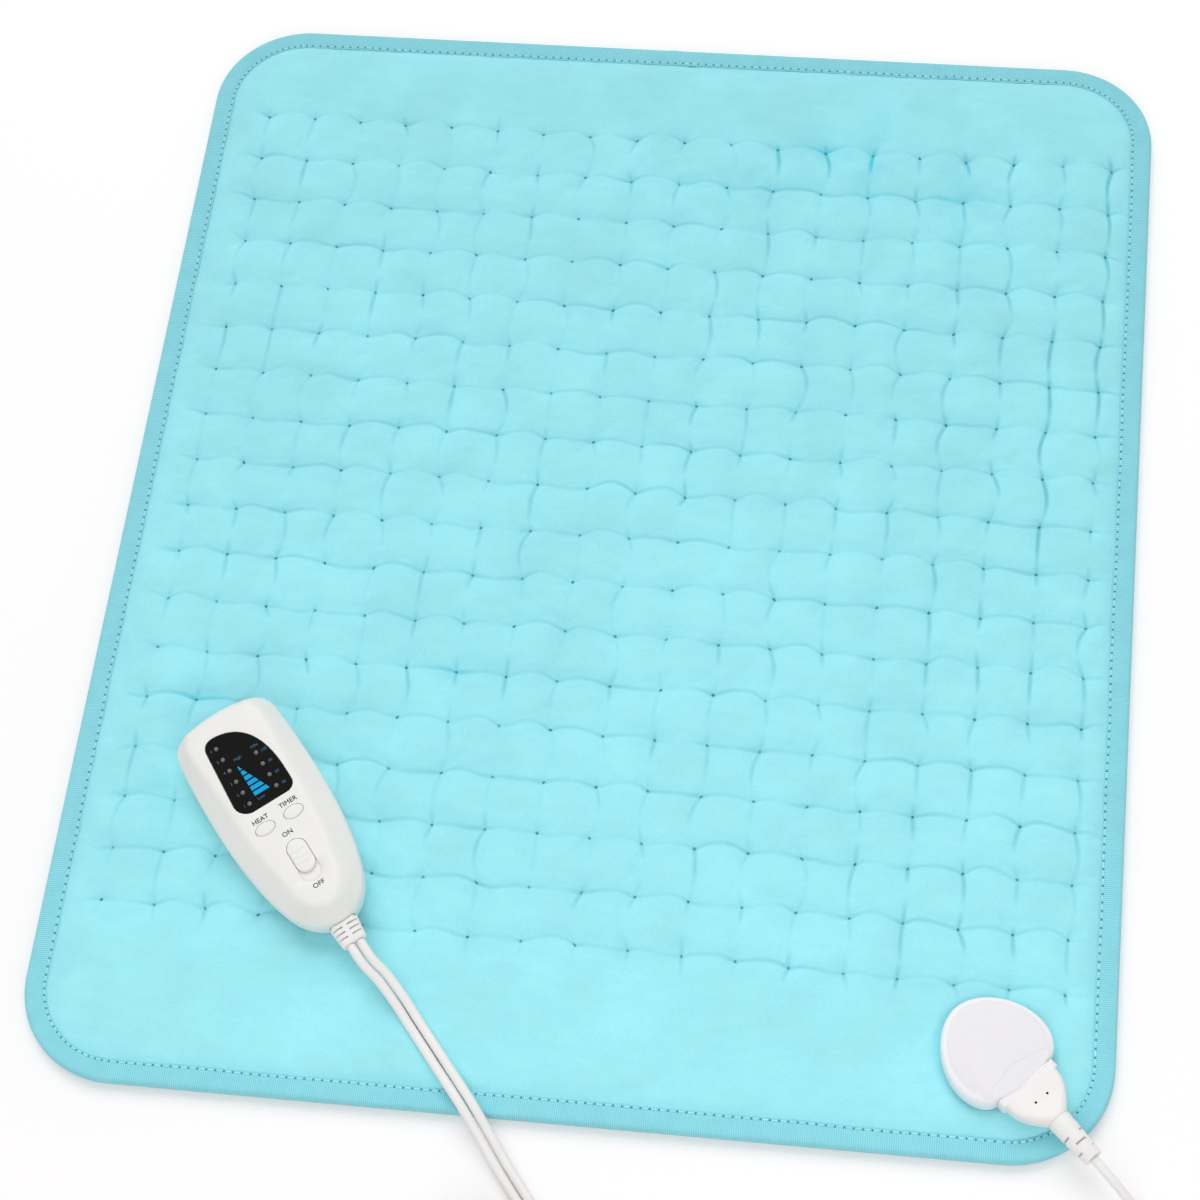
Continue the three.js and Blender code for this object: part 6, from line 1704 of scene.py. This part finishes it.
class HEATPAD_OT_binding(bpy.types.Operator):
    """Binding tape folded over the edge, with its stitching"""

    bl_idname = "heatpad.binding"
    bl_label = "Binding"

    def execute(self, context):
        pad = context.scene.heatpad_pad
        rng = np.random.default_rng(pad.seed + 1)
        points, normals, along, total = edge_stations(pad, TAPE_STEP)
        width = pad.tape_width / MM
        outer = [
            (width, 0.0), (6.0, 0.0), (2.0, 0.02), (0.9, 0.3), (0.25, 1.1), (0.0, 2.3), (0.0, 4.4),
            (0.25, 5.5), (0.9, 6.25), (2.0, 6.55), (3.6, 6.66), (5.4, 6.7), (7.0, 6.68), (8.2, 6.6),
            (8.9, 6.42), (STITCH_INSET, 6.2), (10.1, 6.36), (10.6, 6.3), (width, 6.02),
        ]
        inner = [
            (width, 5.5), (10.2, 5.68), (9.5, 5.72), (6.0, 5.72), (1.6, 5.72), (1.05, 5.2), (1.0, 3.4),
            (1.05, 1.6), (1.6, 1.02), (6.0, 1.0), (width, 1.0),
        ]
        profile = outer + inner
        half_x, half_y, _ = pad_outline(pad)
        # The tape gathers round the corners, most at the one by the socket
        from_side, from_end = np.abs(points[:, 0]) - half_x + 14, np.abs(points[:, 1]) - half_y + 14
        corner = np.exp(-(from_side**2 + from_end**2) / 22**2)
        socket_side = np.where((points[:, 0] > 0) & (points[:, 1] < 0), 1.0, 0.45)
        gather = np.sin(along / 5.2 * 2 * math.pi + 2 * tape_wave(along, total, rng, 160))
        gather = corner * socket_side * gather
        far = points[:, 1] > half_y - 1
        sway = 0.4 * tape_wave(along, total, rng, 70) - far * np.exp(-((points[:, 0] - TAPE_NOTCH) / 4) ** 2)
        lift = 0.15 * tape_wave(along, total, rng, 120)
        rings = []
        for depth, z in profile:
            share = depth / width
            upper = 1.0 if z > 5.4 else 0.0
            reach = depth + upper * share * sway
            join = far * np.exp(-((points[:, 0] - TAPE_JOIN - depth) / 2.4) ** 2)
            rise = z + upper * (share * (lift + 0.3 * gather) + 0.5 * join)
            rings.append(np.column_stack([points + normals * reach[:, None], rise]))
        tape = loft("edge_tape", list(np.stack(rings, axis=1)), loops=True)
        mesh = tape.data
        count = len(profile)
        across = np.array([d if k < len(outer) and z > 3 else -d for k, (d, z) in enumerate(profile)])
        corners = np.empty(len(mesh.loops), int)
        mesh.loops.foreach_get("vertex_index", corners)
        run, side = along[corners // count], across[corners % count]
        per_face = run.reshape(-1, 4)
        wrapped = per_face.max(axis=1) - per_face.min(axis=1) > total / 2
        per_face[wrapped] += total * (per_face[wrapped] < total / 2)
        layer = mesh.uv_layers.new(name="along")
        layer.data.foreach_set("uv", np.stack([per_face.ravel(), side], axis=1).ravel())
        settle(tape, Matrix(), "binding", PAD_BODY, ["edge_binding"], angle=60)

        pitch, number = stitch_run(pad)
        spots = (np.arange(number) + 0.5) * pitch
        look = lambda values, at: np.interp(at % total, np.append(along, total), np.append(values, values[0]))
        turn = np.linspace(0, 2 * math.pi, 6, endpoint=False)
        shares = ((-0.38, 0.14), (-0.33, 0.28), (-0.15, 0.36), (0.15, 0.36), (0.33, 0.28), (0.38, 0.14))
        stitches = []
        for spot in spots:
            rings = []
            for share, radius in shares:
                at = spot + share * pitch
                centre = np.array([look(points[:, 0], at), look(points[:, 1], at)])
                inward = np.array([look(normals[:, 0], at), look(normals[:, 1], at)])
                inward /= np.linalg.norm(inward)
                centre = centre + inward * (STITCH_INSET + look(sway, at) * STITCH_INSET / width)
                rise = 6.36 + look(lift, at) * STITCH_INSET / width + 0.12 * math.cos(share * math.pi / 0.8)
                rise += 0.3 * look(gather, at) * STITCH_INSET / width
                plan = centre[None, :] + inward[None, :] * (radius * np.cos(turn))[:, None]
                rings.append(np.column_stack([plan, rise + radius * np.sin(turn)]))
            stitches.append(skin(rings))
        thread = joined("edge_stitches", stitches)
        settle(thread, Matrix(), "thread", PAD_BODY, angle=80)
        return {"FINISHED"}


class HEATPAD_PT_panel(bpy.types.Panel):
    """Lists the pieces and their settings"""

    bl_label = "Heating pad"
    bl_idname = "HEATPAD_PT_panel"
    bl_space_type = "VIEW_3D"
    bl_region_type = "UI"
    bl_category = "Heating pad"

    def draw(self, context):
        layout = self.layout
        for group in GROUPS:
            settings = getattr(context.scene, group)
            box = layout.box()
            for name in settings.bl_rna.properties.keys():
                if name not in {"rna_type", "name"}:
                    box.prop(settings, name)
        for operator in OPERATORS:
            layout.operator(operator.bl_idname)


GROUPS = {
    "heatpad_pad": HEATPAD_PG_pad,
    "heatpad_case": HEATPAD_PG_case,
    "heatpad_leads": HEATPAD_PG_leads,
    "heatpad_stage": HEATPAD_PG_stage,
}
OPERATORS = [
    HEATPAD_OT_stage, HEATPAD_OT_leads, HEATPAD_OT_socket, HEATPAD_OT_controller, HEATPAD_OT_legends,
    HEATPAD_OT_binding, HEATPAD_OT_cloth,
]


def register():
    for cls in (*GROUPS.values(), *OPERATORS, HEATPAD_PT_panel):
        bpy.utils.register_class(cls)
    for name, cls in GROUPS.items():
        setattr(bpy.types.Scene, name, PointerProperty(type=cls))


def unregister():
    for name in GROUPS:
        delattr(bpy.types.Scene, name)
    for cls in (HEATPAD_PT_panel, *reversed(OPERATORS), *GROUPS.values()):
        bpy.utils.unregister_class(cls)


def main():
    register()
    FINISH.update(build_materials())
    bpy.ops.heatpad.stage()
    bpy.ops.heatpad.leads()
    bpy.ops.heatpad.socket()
    bpy.ops.heatpad.controller()
    bpy.ops.heatpad.legends()
    bpy.ops.heatpad.binding()
    bpy.ops.heatpad.cloth()


if __name__ == "__main__":
    main()
